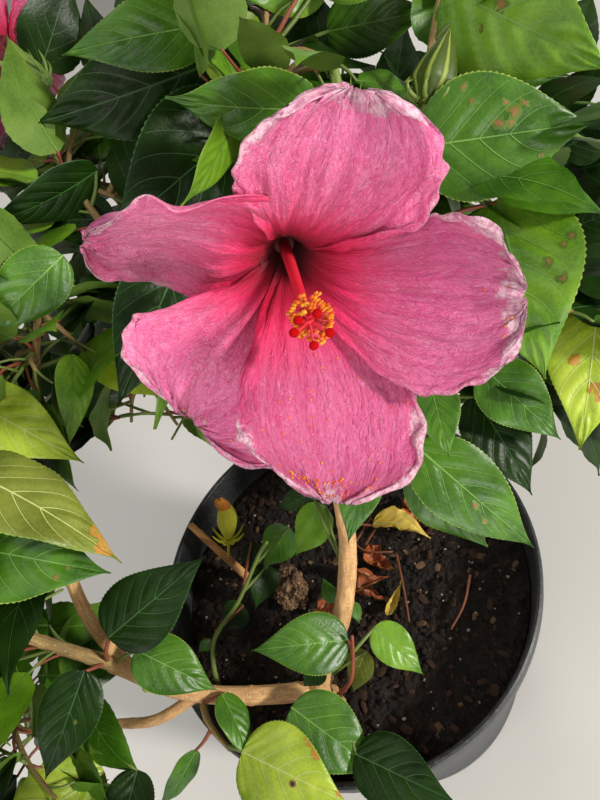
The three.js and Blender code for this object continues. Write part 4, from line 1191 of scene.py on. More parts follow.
# each layer of marks: where they are, their finish, their level over the blade and their size
spotLayers = [
    (wornSpots, "halo", 1.25, 1.7), (wornSpots, "worn", 1.5, 0.8), (turnedSpots, "turned", 1.3, 1.2),
    (burntSpots, "worn", 1.5, 1.2), (burntSpots, "burnt", 1.7, 0.7),
]
# leaves held a little further from the one behind
nudged = {"topLeft": 9, "rightTop": 8}


def templateFor(kind, tint):
    if (kind, tint) not in leafTemplates:
        columns, stations, pairs = leafGrids[kind]
        mesh, flat = leafTemplate(columns, stations, tint, pairs)
        places = []
        for x, y, z in flat:
            u = clamp(y, 0, 1)
            rib = (x > 0) - (x < 0) if abs(x) > 1.5 else 0
            v = 0 if rib else x
            places.append((u, v, z, bladeOutline(u), quiltAt(u, v), rib))
        leafTemplates[(kind, tint)] = (mesh, places)
    return leafTemplates[(kind, tint)]


def spotTemplate():
    shape = bmesh.new()
    bmesh.ops.create_circle(shape, segments=11, radius=1, cap_ends=True)
    bmesh.ops.poke(shape, faces=shape.faces[:])
    bmesh.ops.subdivide_edges(shape, edges=shape.edges[:], cuts=1, use_grid_fill=True)
    return asTemplate(shape, "spot")


spotMesh, spotPlaces = spotTemplate()


def addSpots(gather, leaf, place, marks, index, level, sized):
    # ragged marks that lie on the blade and follow its bends
    for number, (u, v, size) in enumerate(marks):
        points = []
        for x, y, z in spotPlaces:
            turn = math.atan2(y, x)
            far = math.hypot(x, y) * size * sized
            far *= 1 + 0.75 * rough(math.cos(turn) * 1.7, math.sin(turn) * 1.7, number + u * 9)
            a = clamp(u + far * math.cos(turn) * 1.3, 0.005, 0.99)
            b = v + far * math.sin(turn) / (0.5 * leaf.ratio * max(0.3, bladeOutline(u)))
            b = clamp(b, -0.955, 0.955)
            points.append(place(a, b, level, bladeOutline(a), quiltAt(a, b), 0))
        gather.add(spotMesh, points, index)


def bendLeaf(gather, leaf, draw):
    template, places = templateFor(leaf.kind, leaf.tint)
    half, blade = 0.5 * leaf.length * leaf.ratio, bladeShape
    wave, waves = leaf.length * vary(draw, *blade["wave"]), vary(draw, *blade["waves"])
    phase, droop = blade["turn"] * draw(), leaf.length * vary(draw, *blade["droop"])
    twist = blade["twist"] * (draw() - 0.5)
    crumple = blade["dryCrumple" if leaf.tint == "leafDead" else "crumple"]
    lifted = nudged.get(leaf.key, 0)
    puff = leaf.length * blade["puff"][leaf.kind]

    def place(u, v, z, outline, quilt, rib):
        w = half * max(outline, 0.02)
        rise = leaf.arch * leaf.length * 4 * u * (1 - u) + 0.5 * leaf.fold * abs(v) * w
        rise += wave * v * v * math.sin(waves * blade["turn"] * u + phase + v) - droop * u ** 3
        rise += lifted + twist * v * w * u + puff * quilt + (z - 0.5) * blade["thick"]
        across = rib * leaf.length * blade["midrib"] * (1.1 - u) if rib else v * w
        if leaf.roll:
            # dry and rolled up, with a crumpled face
            across = w * math.sin(v * leaf.roll) / leaf.roll + (across if rib else 0)
            rise += w * (1 - math.cos(v * leaf.roll)) / leaf.roll
            rise += leaf.length * crumple * rough(u * 5 + leaf.length, v * 2.6, 1)
            across *= 1 + crumple * 5 * rough(u * 9, v, leaf.length)
        if u <= 0:
            across = clamp(across, -1, 1)
        return leaf.foot + leaf.along * (leaf.length * u) + leaf.s * across + leaf.n * rise
    gather.add(template, [place(*p) for p in places])
    for spots, tint, level, sized in spotLayers:
        addSpots(gather, leaf, place, spots.get(leaf.key, ()), extraIndex[tint], level, sized)


greenShoot = [(-119, -30, 215), (-113, -24, 234), (-103, -10, 247), (-75, 2, 258), (-44, 15, 281),
              (-34, 14, 292)]
# small leaves that hang low beside the main stem: foot, tip, width over length, turn, tint
lowLeaves = [
    ((14, 12, 300), (-22, 4, 275), 0.62, -20, "leafFresh"),
    ((10, 24, 305), (-19, 31, 296), 0.6, 20, "leafDeepAndShaded"),
    ((-18, 28, 272), (-50, 18, 256), 0.75, -10, "leafGreen"),
    ((-53, 46, 250), (-62, 20, 244), 0.6, 0, "leafDeepAndShaded"),
    ((-47, 22, 250), (-68, -2, 244), 0.7, 10, "leafDeepAndShaded"),
    ((-75, 4, 246), (-98, -2, 240), 0.9, 0, "leafDeepAndShaded"),
    ((-105, -8, 245), (-119, -9, 240), 0.7, 20, "leafGreen"),
    ((-12, -34, 262), (-12, -13, 262), 0.5, 0, "leafGreen"),
    ((0, -39, 262), (-3, -50, 250), 0.5, 0, "leafGreen"),
    ((-37, -62, 250), (-55, -66, 242), 0.8, 10, "leafDeepAndShaded"),
    ((-6, -67, 250), (-27, -82, 238), 0.75, -30, "leafOlive"),
]
# leaves at the back of the crown, all in the darkest tint as painted shade: foot, tip, width over
# length
backLeaves = [
    ((258, 104, 402), (292, 92, 412), 0.9),
    ((262, 112, 376), (292, 76, 392), 0.9),
    ((262, 98, 340), (294, 74, 360), 0.9),
    ((176, 262, 468), (140, 268, 500), 0.8),
    ((222, 232, 430), (246, 226, 400), 0.8),
    ((-17, 250, 539), (30, 273, 573), 0.66),
    ((19, 242, 518), (31, 266, 560), 0.58),
    ((52, 240, 523), (63, 265, 566), 0.72),
    ((117, 255, 482), (163, 265, 519), 0.66),
    ((165, 249, 451), (175, 267, 507), 0.58),
    ((184, 252, 467), (218, 256, 497), 0.72),
    ((203, 233, 410), (232, 251, 460), 0.66),
    ((237, 222, 413), (209, 253, 448), 0.58),
    ((262, 112, 456), (295, 127, 476), 0.72),
    ((266, 117, 420), (290, 106, 444), 0.66),
    ((265, 121, 391), (277, 86, 413), 0.58),
    ((260, 113, 357), (265, 69, 385), 0.72),
    ((261, 107, 304), (278, 82, 342), 0.66),
    ((254, 80, 286), (275, 83, 330), 0.58),
    ((-73, 253, 494), (-36, 257, 512), 0.72),
    ((-120, 275, 380), (-113, 236, 345), 0.66),
    ((-93, 257, 364), (-145, 244, 333), 0.58),
    ((-147, 264, 357), (-164, 225, 309), 0.72),
]
# fallen leaves on the mix: foot, tip, width over length, turn, tint and how far each is rolled up
fallenLeaves = [
    ((36, 19, 234), (70, -8, 226), 0.62, 35, "leafYellow", 1.2),
    ((54, 12, 221), (82, 20, 224), 0.9, 0, "leafDead", 1.5),
    ((66, 30, 221), (88, 8, 226), 0.8, 40, "leafDead", 1.8),
    ((6, 2, 221), (28, -20, 226), 0.95, -30, "leafDead", 1.9),
    ((20, 8, 220), (36, -14, 224), 0.9, 30, "leafDead", 1.6),
    ((-4, -12, 220), (18, -30, 222), 0.7, 50, "leafDead", 2.1),
    ((15, -42, 221), (35, -26, 226), 0.4, 10, "leafYellow", 1.6),
    ((-30, -20, 220), (-10, -6, 222), 0.8, 0, "leafDead", 1.9),
]
litterSticks = [
    [(42, -4, 221), (36, -26, 223), (27, -53, 220)],
    [(17, 19, 221), (28, 24, 225), (38, 30, 226)],
    [(20, 12, 220), (40, 22, 223), (62, 28, 222)],
    [(81, -43, 218), (66, -60, 220), (50, -70, 219)],
    [(14, 30, 220), (22, 8, 224), (40, -2, 222)],
]
litterStalk = [(16, 26, 230), (26, 24, 236), (37, 18, 234)]


def makeLitter():
    # what has fallen on the mix under the bloom
    draw = seededNumbers(seeds["litter"])
    leaves, sticks = Gather(), Gather()
    for foot, tip, ratio, turn, tint, fold in fallenLeaves:
        leaf = Leaf(Vector(foot), Vector(tip), Vector((0, -0.3, 1)).normalized(), turn, ratio, tint,
                    "near")
        leaf.arch, leaf.roll = 0.22 - 0.5 * draw(), fold
        bendLeaf(leaves, leaf, draw)
    for points in litterSticks:
        bendLimb(sticks, Run(points), lambda t: 1.0 - 0.3 * t, 8, 12, 0, barkRelief(points[0][0]))
    bendLimb(sticks, Run(litterStalk), lambda t: 0.8, 8, 8, 1)
    finishPiece("fallenLeaves", leaves.shape, leafSet)
    stickBark = barkFinish("stickBark", (112, 62, 40), (156, 96, 62), (176, 126, 90))
    finishPiece("fallenSticks", sticks.shape, [stickBark, stalkRed])


def addLowLeaves():
    mass = masses["foliage_foot"]
    stem, shoot = Run(boughs["bough_main"][0]), Run(greenShoot)
    for foot, tip, ratio, turn, tint in lowLeaves:
        foot, tip = Vector(foot), Vector(tip)
        leaf = Leaf(foot, tip, (sight - foot).normalized(), turn, ratio, tint, "rule")
        leaf.root = min(nearestOn(stem, foot), nearestOn(shoot, foot), key=lambda p: (p - foot).length)
        mass["leaves"].append(leaf)


def addBackLeaves():
    # each hangs from the nearest stem or twig
    runs = [(mass, run) for mass in masses.values() for run in [mass["run"]] + mass["twigRuns"]]
    for number, (foot, tip, ratio) in enumerate(backLeaves):
        foot, tip = Vector(foot), Vector(tip)
        mass, run = min(runs, key=lambda pair: (nearestOn(pair[1], foot) - foot).length)
        turn = 24 * math.sin(number * 2.4)
        leaf = Leaf(foot, tip, (sight - foot).normalized(), turn, ratio, "leafDeepAndShaded", "rule")
        leaf.root = nearestOn(run, foot)
        mass["leaves"].append(leaf)


def makeFoliage():
    total = 0
    for name, mass in masses.items():
        draw = seededNumbers(mass["seed"] + seeds["leafBends"])
        leaves, twigs = Gather(), Gather()
        first, last = mass["radii"]
        # the low shoot has a slim red stem of its own
        slender, skin = (0.62, 2) if name == "foliage_foot" else (1, 0)
        bendLimb(twigs, mass["run"], lambda t: (first + (last - first) * t) * slender, 12,
                 int(mass["run"].length / 3), skin, barkRelief(mass["seed"]))
        for index, run in enumerate(mass["twigRuns"]):
            thick, skin = (1.9, 0) if index < mass["twigs"] else (1.4, 1)
            bendLimb(twigs, run, lambda t: thick * (1 - 0.4 * t), 7, int(run.length / 5), skin,
                     barkRelief(index))
        for leaf in mass["leaves"]:
            bendLeaf(leaves, leaf, draw)
            middle = leaf.root.lerp(leaf.foot, 0.55) + leaf.n * (leaf.root - leaf.foot).length * 0.08
            slim = {"near": 1.15, "rule": 0.95, "small": 0.75}[leaf.kind]
            end = leaf.foot + leaf.along * (leaf.length * 0.015)
            bendLimb(twigs, Run([leaf.root, middle, end]), lambda t: slim * (1.25 - 0.35 * t), 6, 5,
                     2 if draw() < (0.7 if leaf.kind == "near" else 0.35) else 1)
        total += sum(len(f.verts) - 2 for f in leaves.shape.faces)
        finishPiece(name + "_twigs", twigs.shape, twigSet, [name])
        finishPiece(name + "_leaves", leaves.shape, leafSet, [name])
    print("foliage made, leaf triangles", total)


addLowLeaves()
addBackLeaves()
makeFoliage()
makeLitter()


# blooms
def petalFinish(name, **constants):
    # dark throat, hot pink above it, pink body with fanned creases, painted shade in their valleys and
    # a painted highlight on their ridges, pale worn margin
    finish = Finish(name, Specular_IOR_Level=0.25, Sheen_Weight=0.06, Sheen_Roughness=0.5, **constants)
    x, y = finish.strip()
    lane = x * 5.0
    across = (lane.fraction() - 0.5) / 0.46

    def fan(stretch, scale, detail, distortion):
        spread = finish.node("ShaderNodeCombineXYZ", {}, {"X": lane, "Y": y * stretch, "Z": 0.0})
        return finish.noise(spread, scale, detail, 0.6, distortion)
    broad = fan(0.3, 7, 3, 0.3)
    crease = fan(0.34, 34, 3, 1.6)
    fine = fan(0.5, 84, 2, 1.4)
    ray = fan(0.1, 22, 2, 0.8)
    here = finish.place()
    body = finish.mix(y.step(0.3, 0.9), screen(236, 90, 144), screen(240, 122, 174))
    body = finish.mix(broad.step(0.35, 0.7) * 0.5, body, screen(248, 156, 196))
    # darker pink where the crease relief is low: painted shade in the valleys
    paintedCreaseShade = ((1 - crease.step(0.38, 0.54)) * 0.34 + (1 - fine.step(0.4, 0.52)) * 0.2
              + (1 - ray.step(0.34, 0.46)) * 0.36)
    body = finish.mix(paintedCreaseShade, body, screen(216, 66, 128))
    # near-white where the crease relief is high: a painted highlight on the ridges
    body = finish.mix((fine.step(0.56, 0.7) * 0.26 + crease.step(0.58, 0.75) * 0.26), body,
                      screen(255, 204, 226))
    # the two petals on the lit side are painted a darker rose, a painted shade that tones down the
    # light on them
    body = finish.mix(x.step(0.59, 0.61) * 0.36, body, screen(146, 38, 90))
    wander = 0.07 * (crease - 0.5) + 0.1 * (broad - 0.5)
    near = y + wander
    body = finish.mix(1 - near.step(0.22, 0.52), body, screen(240, 44, 104))
    body = finish.mix(1 - near.step(0.15, 0.33), body, screen(190, 4, 54))
    body = finish.mix(1 - near.step(0.05, 0.17), body, screen(104, 0, 22))
    outer = y.step(0.42, 0.72)
    edge = (abs(across).step(0.74, 1.0) + y.step(0.82, 1.0)) * outer
    rim = (abs(across).step(0.955, 0.99) + y.step(0.975, 1.0)) * outer
    torn = finish.noise(here, 150, 4, 0.65, 0.4)
    spread = finish.noise(here, 19, 2).step(0.44, 0.62)
    worn = (edge * (0.26 + 0.46 * spread) + torn).step(0.8, 1.0) + rim * 0.45
    worn = worn.math("MINIMUM", worn, 1.0) * (0.6 + 0.4 * torn)
    body = finish.mix(worn * 0.75, body, finish.mix(finish.noise(here, 420, 3).step(0.4, 0.6),
                                                    screen(206, 160, 178), screen(244, 226, 230)))
    finish.feed("Base Color", body)
    finish.feed("Roughness", 0.5 + 0.22 * fine)
    finish.bump(crease + fine * 0.55 + ray * 0.7 + worn * 0.5 * torn, 1.0, 0.0018)
    return finish.material


petalSkin = petalFinish("petalSkin")
throatRed = plainFinish("throatRed", (92, 2, 20), 0.6, 500, 0.2)
columnRed = plainFinish("columnRed", (232, 48, 70), 0.4, 500, 0.15)
filamentPink = plainFinish("filamentPink", (232, 84, 88), 0.45, 500, 0.15)
padRed = plainFinish("padRed", (184, 0, 8), 0.85, 900, 0.3, Specular_IOR_Level=0.12)
pollenGold = plainFinish("pollenGold", (255, 176, 38), 0.7, 1200, 0.3)
pollenOrange = plainFinish("pollenOrange", (250, 122, 20), 0.7, 1200, 0.3)
calyxGreen = plainFinish("calyxGreen", (112, 142, 60), 0.5, 260, 0.25)


def grainTemplate():
    grain = bmesh.new()
    bmesh.ops.create_icosphere(grain, subdivisions=1, radius=1)
    return asTemplate(grain, "grain")


def petalTemplate(columns, rows):
    # two skins: x across and y along from -1 to 1, z 0 on one side and 1 on the other
    shape = newGrid(columns, rows)
    bmesh.ops.solidify(shape, geom=shape.faces[:], thickness=1)
    layer = shape.loops.layers.uv.new("UVMap")
    for f in shape.faces:
        for loop in f.loops:
            loop[layer].uv = ((loop.vert.co.x + 1) / 2, (loop.vert.co.y + 1) / 2)
    return asTemplate(shape, "petal")


petalShape = {"thick": 0.3, "frill": 2.6, "ripple": 1.0, "scallop": 2.4, "notch": 3.2, "crease": 0.4,
              "fold": 0.6}
throatShape = [(0, 0.9), (3.4, 0.9), (4.6, 1.4), (5.6, 4), (7.1, 8), (9.3, 12.5), (11.2, 15.6),
               (11.6, 15.4), (9.8, 12.2), (7.6, 7.7), (6.1, 3.6), (4.9, 0.3), (0, 0.1)]


def petalPoint(spine, petal, number, s, x):
    # a point of the petal with its folds, frilled margin and scallops
    ragged = rough(x * 3.1, s * 4.3, number * 5.7)
    frill = rough(x * 5.5, s * 6.5, number * 3.3 + 9)
    crinkle = rough(x * 13, s * 11, number * 2.1)
    rim = smooth((max(abs(x), (s - 0.5) / 0.5) - 0.45) / 0.55)
    p, lift, w = petalAt(spine, petal, s, x)
    wave = petalShape["frill"] * rim * (frill + 0.45 * rim * crinkle)
    wave += petalShape["ripple"] * rim * math.sin(x * 9 + s * 17 + number)
    crease = rough(x * 19 + 0.8 * ragged, s * 3.2, number * 7.9)
    fold = petalShape["fold"] * math.sin(x * 14 + 2.4 * ragged) * smooth(s / 0.4)
    fold += petalShape["crease"] * 2 * crease * smooth((s - 0.12) / 0.3)
    middle = petalAt(spine, petal, 0.55, 0)[0]
    out = p - middle
    out = out.normalized() if out.length > 1e-6 else lift
    broad = smooth(w / (0.5 * petal[6]))
    bite = rough(x * 8.7 + 3, s * 9.1, number * 4.4)
    scallop = petalShape["scallop"] * rim ** 3 * broad * (ragged + 0.8 * bite)
    notch = rough(x * 15 + number, s * 17, number * 2.9)
    scallop += (petalShape["notch"] * smooth((rim - 0.8) / 0.2) * broad
                * smooth((s - 0.45) / 0.25) * notch)
    return p + lift * (wave * (0.2 + 0.8 * broad) + fold * broad) + out * scallop, lift


def makePetals(name, bloom):
    columns, rows = bloom["grid"]
    template, flat = petalTemplate(columns, rows)
    places = [(x, 0.996 * ((y + 1) / 2) ** 0.85, z) for x, y, z in flat]
    gather = Gather()
    for number, (spine, petal) in enumerate(zip(bloom["spines"], bloom["petals"])):
        points = []
        for x, s, z in places:
            p, lift = petalPoint(spine, petal, number, s, x)
            points.append(p + lift * ((0.5 - abs(z)) * petalShape["thick"]))
        mesh = template.copy()
        layer = mesh.uv_layers[0].data
        marks = [0.0] * (len(layer) * 2)
        layer.foreach_get("uv", marks)
        marks[0::2] = [(number + 0.04 + 0.92 * c) / 5 for c in marks[0::2]]
        layer.foreach_set("uv", marks)
        gather.add(mesh, points)
    heart, face, up, side = bloomFrame(bloom)
    cup, spun = asTemplate(spinProfile(throatShape, 30, 1e-4), "throat")
    gather.add(cup, [heart + up * x + side * y + face * z for x, y, z in spun], 1)
    finishPiece(name + "_petals", gather.shape, [petalSkin, throatRed], [name + "_corolla"])


# petal, how far across it the grains lie and how many there are
pollenFall = ((3, 0.9, 120), (2, 0.8, 8), (4, 0.7, 8))


def makePollenFall(bloom):
    # loose pollen on the lowest petal, most of it along the margin
    draw = seededNumbers(seeds["pollen"])
    grain, balls = grainTemplate()
    gather = Gather()
    for number, spread, many in pollenFall:
        spine, petal = bloom["spines"][number], bloom["petals"][number]
        for k in range(many):
            low = draw() < 0.72
            s = 0.91 + 0.075 * draw() if low else 0.45 + 0.45 * draw()
            x = spread * (2 * draw() - 1) * (0.8 if low else 1)
            p, lift = petalPoint(spine, petal, number, s, x)
            size = 0.28 + 0.3 * draw()
            flip = 1 if lift.dot(sight - p) > 0 else -1
            p += lift * (0.3 * flip)
            points = [p + Vector((a, b, c)) * size for a, b, c in balls]
            gather.add(grain, points, 0 if draw() < 0.3 else 1)
    finishPiece("bloom_front_pollen", gather.shape, [pollenGold, pollenOrange])


columnShape = {
    "anthers": 104, "from": 0.85, "to": 0.98, "filament": 3.2, "spread": 2.4, "grain": 0.84,
    "heavySide": math.radians(228), "heavy": 3.0,
    "padRadius": 1.65, "padRing": 5.8, "padReach": 1.08, "pads": (325, 30, 75, 165, 235),
}


def makeColumn(name, bloom):
    heart, face, up, side = bloomFrame(bloom)
    reach, sizes = bloom["column"], columnShape
    draw = seededNumbers(int(abs(heart.x) * 10))

    def axis(t):
        return heart + face * (reach * t - 0.4) + up * (bloom["droop"] * t * t)
    gather = Gather()
    run = Run([axis(i / 6) for i in range(7)])
    bendLimb(gather, run, lambda t: 2.6 - 1.1 * t, 14, 24, 0)
    grain, balls = grainTemplate()
    for k in range(sizes["anthers"]):
        t = sizes["from"] + (sizes["to"] - sizes["from"]) * (k + 0.5) / sizes["anthers"]
        a = k * rule["spiral"] + 0.5 * draw()
        out = between(up, side, a)
        foot = run.at(t) + out * 1.2
        lean = math.cos(a - sizes["heavySide"])
        length = sizes["filament"] + sizes["spread"] * draw() + sizes["heavy"] * max(0, lean)
        if lean < -0.2 and draw() < 0.5:
            continue
        end = foot + (out + face * (0.15 + 0.6 * draw() + 0.3 * max(0, lean))).normalized() * length
        bendLimb(gather, Run([foot, foot.lerp(end, 0.5) + face * 0.4, end]), lambda t: 0.24, 4, 2, 4)
        for lobe in (-1, 1):
            sized = sizes["grain"] * (0.85 + 0.4 * draw())
            middle = end + out.cross(face) * (lobe * sized * 0.62)
            gather.add(grain, [middle + out * (x * sized * 0.8) + side * (y * sized)
                               + face * (z * sized * 1.15) for x, y, z in balls],
                       2 if draw() < 0.62 else 3)
    pad = bmesh.new()
    bmesh.ops.create_uvsphere(pad, u_segments=16, v_segments=10, radius=1)
    padMesh, pads = asTemplate(pad, "pad")
    for turn in sizes["pads"]:
        a = math.radians(turn)
        out = between(up, side, a)
        foot, end = axis(0.985), axis(sizes["padReach"]) + out * sizes["padRing"]
        bendLimb(gather, Run([foot, foot.lerp(end, 0.5) + face * 0.7, end]), lambda t: 0.5, 7, 5, 0)
        gather.add(padMesh, [end + (out * x + face.cross(out) * y + face * z * 0.75)
                             * (sizes["padRadius"] * (1 + 0.1 * noise.noise(Vector((x, y, z)) * 3)))
                             for x, y, z in pads], 1)
    finishPiece(name + "_stamens", gather.shape,
                [columnRed, padRed, pollenGold, pollenOrange, filamentPink],
                [name + "_column"])


# the cup: where it starts, swells and ends behind the heart, and its radii; five lobes; slim bracts
calyxShape = {
    "cup": (21, 14, 2.4), "slim": 3.2, "swell": 4.0, "lobes": 5, "lobeHalf": 5.6, "lobeLength": 14,
    "bracts": 8, "bractRun": ((-18, 3), (-14, 9), (-8, 13)), "bractThick": 1.1,
}


def makeCalyx(name, bloom):
    heart, face, up, side = bloomFrame(bloom)
    gather, sizes = Gather(), calyxShape

    def place(h, r, a):
        return heart + face * h + up * (r * math.cos(a)) + side * (r * math.sin(a))

    def bell(t):
        swell = sizes["slim"] + sizes["swell"] * math.sin(min(1, t * 1.1) * math.pi / 2)
        return swell * (1 - 0.62 * smooth((t - 0.8) / 0.2))
    bendLimb(gather, Run([heart - face * far for far in sizes["cup"]]), bell, 20, 16, 0)
    lobe, places = asTemplate(newGrid(6, 10), "lobe")
    for k in range(sizes["lobes"]):
        a = k * math.pi * 0.4 + 0.2
        points = []
        for x, y, z in places:
            t = (y + 1) / 2
            w = sizes["lobeHalf"] * (1 - t) ** 0.75 + 0.15
            r = 7.0 + 6.4 * t - 1.2 * x * x * (1 - t)
            points.append(place(sizes["lobeLength"] * t - 6, r, a + x * w / (7 + 11 * t)))
        gather.add(lobe, points)
    for k in range(sizes["bracts"]):
        a = k * math.pi / 4
        bendLimb(gather, Run([place(h, r, a) for h, r in sizes["bractRun"]]),
                 lambda t: sizes["bractThick"] * (1 - 0.8 * t * t), 6, 6, 0)
    stalk = bloom["stalkRun"]
    bendLimb(gather, stalk, lambda t: 1.9 + 0.7 * t, 12, int(stalk.length / 4), 0)
    finishPiece(name + "_calyxCup", gather.shape, [calyxGreen], [name + "_calyx"])


for name, bloom in blooms.items():
    makePetals(name, bloom)
    makeColumn(name, bloom)
    makeCalyx(name, bloom)
makePollenFall(blooms["bloom_front"])
print("blooms made")


# the closed bud at the right, a young one behind the bloom, and a faded calyx on the dry shoot
def budFinish():
    # dark panels between narrow pale seams that run from foot to tip
    finish = Finish("budSkin", Specular_IOR_Level=0.4)
    x = finish.strip()[0]
    here = finish.place()
    lane = (x * 8.0 + 0.3 * finish.noise(here, 120, 2)).fraction()
    seam = 1 - abs(lane - 0.5).step(0.06, 0.2)
    panel = finish.mix(finish.noise(here, 90, 3), screen(48, 66, 18), screen(86, 106, 34))
    finish.feed("Base Color", finish.mix(seam * 0.85, panel, screen(158, 176, 76)))
    finish.feed("Roughness", 0.42 + 0.12 * finish.noise(here, 300, 2))
    finish.bump(seam + 0.3 * finish.noise(here, 700, 2), 0.5, 0.0006)
    return finish.material


budSkin = budFinish()
bractGreen = plainFinish("bractGreen", (128, 152, 62), 0.5, 400, 0.25)
fadedGreen = plainFinish("fadedCalyx", (226, 222, 62), 0.6, 300, 0.35)
shootGreen = plainFinish("shootGreen", (126, 146, 70), 0.5, 300, 0.3)
nodePale = plainFinish("nodeBud", (176, 182, 96), 0.55, 500, 0.3)
fadedPetal = plainFinish("fadedPetal", (216, 132, 44), 0.7, 260, 0.7)
budMaterials = [budSkin, bractGreen, fadedGreen, shootGreen, nodePale, stalkRed, fadedPetal]
# bracts: how many, the radius of their ring, their length and thickness, finish and curl
closedBud = {"ribs": 5, "bracts": (7, 10.5 * 0.62, 9, 1.25, 1, 1.0)}
youngBud = {
    "foot": (119, 88, 504), "tip": (126, 103, 524), "radius": 2.6, "bracts": (5, 1.6, 13, 0.8, 1, -0.4),
}
fadedCalyx = {
    "foot": (-78, 50, 236), "neck": (-68, 56, 254), "tip": (-56, 64, 280), "ribs": 10, "petals": 7,
    "bracts": (8, 1.8, 13, 1.3, 2, -0.5),
}
# place and radius of small buds beside leaf stalks on the left limb
nodeBuds = [((-133, -43, 302), 3.2), ((-94, -61, 264), 2.6), ((-120, -47, 289), 2.2)]


def ribbed(ribs, depth, drift):
    # ribs round a limb that wander a little along it
    return lambda distance, turn: 1 + depth * math.cos(ribs * turn + distance * drift)


def bractRing(gather, foot, way, many, radius, length, thick, material, curl):
    # slim bracts that stand out round a foot and curl back
    across = way.orthogonal().normalized()
    other = way.cross(across)
    for k in range(many):
        a = 2 * math.pi * (k + 0.3) / many
        out = between(across, other, a)
        points = [foot + out * radius * 0.5]
        for away, on in ((0.35, 0.1), (0.7, 0.5), (0.7 - 0.35 * curl, 0.8)):
            points.append(foot + out * (radius + length * away) + way * length * on)
        bendLimb(gather, Run(points), lambda t: thick * (1 - 0.85 * t * t), 7, 8, material)


def addClosedBud(gather):
    foot, tip, radius = masses["foliage_right_top"]["bud"]
    foot, tip = Vector(foot), Vector(tip)
    way = (tip - foot).normalized()

    def belly(t):
        swell = 0.5 + 0.5 * smooth(t / 0.32)
        return radius * swell * max(0.03, 1 - clamp((t - 0.3) / 0.7, 0, 1) ** 1.5)
    back = (foot - sight).normalized()
    bendLimb(gather, Run([foot, foot.lerp(tip, 0.5), tip + way * 2]), belly, 40, 26, 0,
             ribbed(closedBud["ribs"], 0.07, 0.03))
    bendLimb(gather, Run([foot - way * 24 + back * 16, foot - way * 10 + back * 4, foot + way * 2]),
             lambda t: 1.7 + 0.9 * t, 10, 8, 3)
    bractRing(gather, foot + way * 1.5, way, *closedBud["bracts"])


def addYoungBud(gather):
    foot, tip = Vector(youngBud["foot"]), Vector(youngBud["tip"])
    way = (tip - foot).normalized()
    bendLimb(gather, Run([foot, foot.lerp(tip, 0.5), tip]),
             lambda t: youngBud["radius"] * math.sin(math.pi * (0.15 + 0.8 * t)) ** 0.8, 14, 10, 1)
    bractRing(gather, foot, way, *youngBud["bracts"])
    bendLimb(gather, Run([nearestOn(masses["foliage_top"]["run"], foot), foot.lerp(tip, -0.4), foot]),
             lambda t: 1.1, 8, 8, 3)


def addFadedCalyx(gather):
    # a yellowed calyx on a bent neck, with the shrivelled petals of its bloom
    foot, neck, tip = (Vector(fadedCalyx[k]) for k in ("foot", "neck", "tip"))
    way = (tip - neck).normalized()
    bendLimb(gather, Run([foot, foot.lerp(neck, 0.6), neck]), lambda t: 1.3, 8, 6, 2)
    bendLimb(gather, Run([neck, neck.lerp(tip, 0.5), tip]),
             lambda t: 1.6 + 5.6 * math.sin(math.pi * clamp(0.02 + 0.76 * t, 0, 1)), 40, 16, 2,
             ribbed(fadedCalyx["ribs"], 0.1, 0.1))
    bractRing(gather, neck - way * 2, way, *fadedCalyx["bracts"])
    side = way.cross((sight - tip).normalized())
    for k in range(fadedCalyx["petals"]):
        out = side * (5 * math.sin(k * 2.1) - 5) + way * (2 + 1.2 * k)
        bendLimb(gather, Run([tip - way * 4, tip + out * 0.5, tip + out]),
                 lambda t: 1.2 + 2.4 * math.sin(math.pi * (0.1 + 0.85 * t)), 9, 9, 6,
                 lambda distance, turn: 1 + 0.6 * rough(distance * 0.3, turn * 1.5, k))


def makeBuds():
    gather = Gather()
    addClosedBud(gather)
    addYoungBud(gather)
    addFadedCalyx(gather)
    shoot = Run(greenShoot)
    bendLimb(gather, shoot, lambda t: 1.9 - 0.7 * t, 12, int(shoot.length / 2.5), 3, barkRelief(9))
    for place, sized in nodeBuds:
        base = Vector(place)
        tip = base + Vector((0, -0.4, 0.7)) * sized * 1.4
        bendLimb(gather, Run([base - Vector((0, 0, sized)), base, tip]),
                 lambda t: sized * math.sin(math.pi * (0.2 + 0.72 * t)), 12, 8, 4)
    finishPiece("closedBuds", gather.shape, budMaterials)


makeBuds()
print("buds made")


# pot and potting mix
def potFinish():
    # black moulded plastic, dusty grey where it catches light, with fine scuffs
    finish = Finish("potPlastic")
    here = finish.place()
    dust = finish.noise(here, 26, 5, 0.7).step(0.3, 0.8)
    grit = finish.noise(here, 420, 3).step(0.55, 0.72)
    scuff = finish.noise(finish.place((40, 40, 600)), 1, 3).step(0.6, 0.75)
    colour = finish.mix(dust * 0.42, screen(38, 40, 44), screen(108, 109, 112))
    colour = finish.mix(grit * 0.3, colour, screen(150, 144, 134))
    finish.feed("Base Color", finish.mix(scuff * 0.25, colour, screen(128, 130, 134)))
    finish.feed("Roughness", 0.34 + 0.3 * dust)
    finish.bump(finish.noise(here, 260, 3) + scuff * 0.3, 0.25, 0.0006)
    return finish.material


def mixFinish():
    finish = Finish("pottingMix")
    here = finish.place()
    lumps = finish.cells(here, 260)
    tone = finish.noise(here, 90, 4, 0.65).step(0.3, 0.75)
    colour = finish.mix(tone, screen(17, 12, 10), screen(46, 32, 24))
    finish.feed("Base Color", finish.mix(finish.noise(here, 700, 2).step(0.66, 0.74) * 0.5, colour,
                                         screen(150, 126, 98)))
    finish.feed("Roughness", 0.85 + 0.1 * tone)
    finish.bump(lumps + finish.noise(here, 500, 4), 1.0, 0.002)
    return finish.material


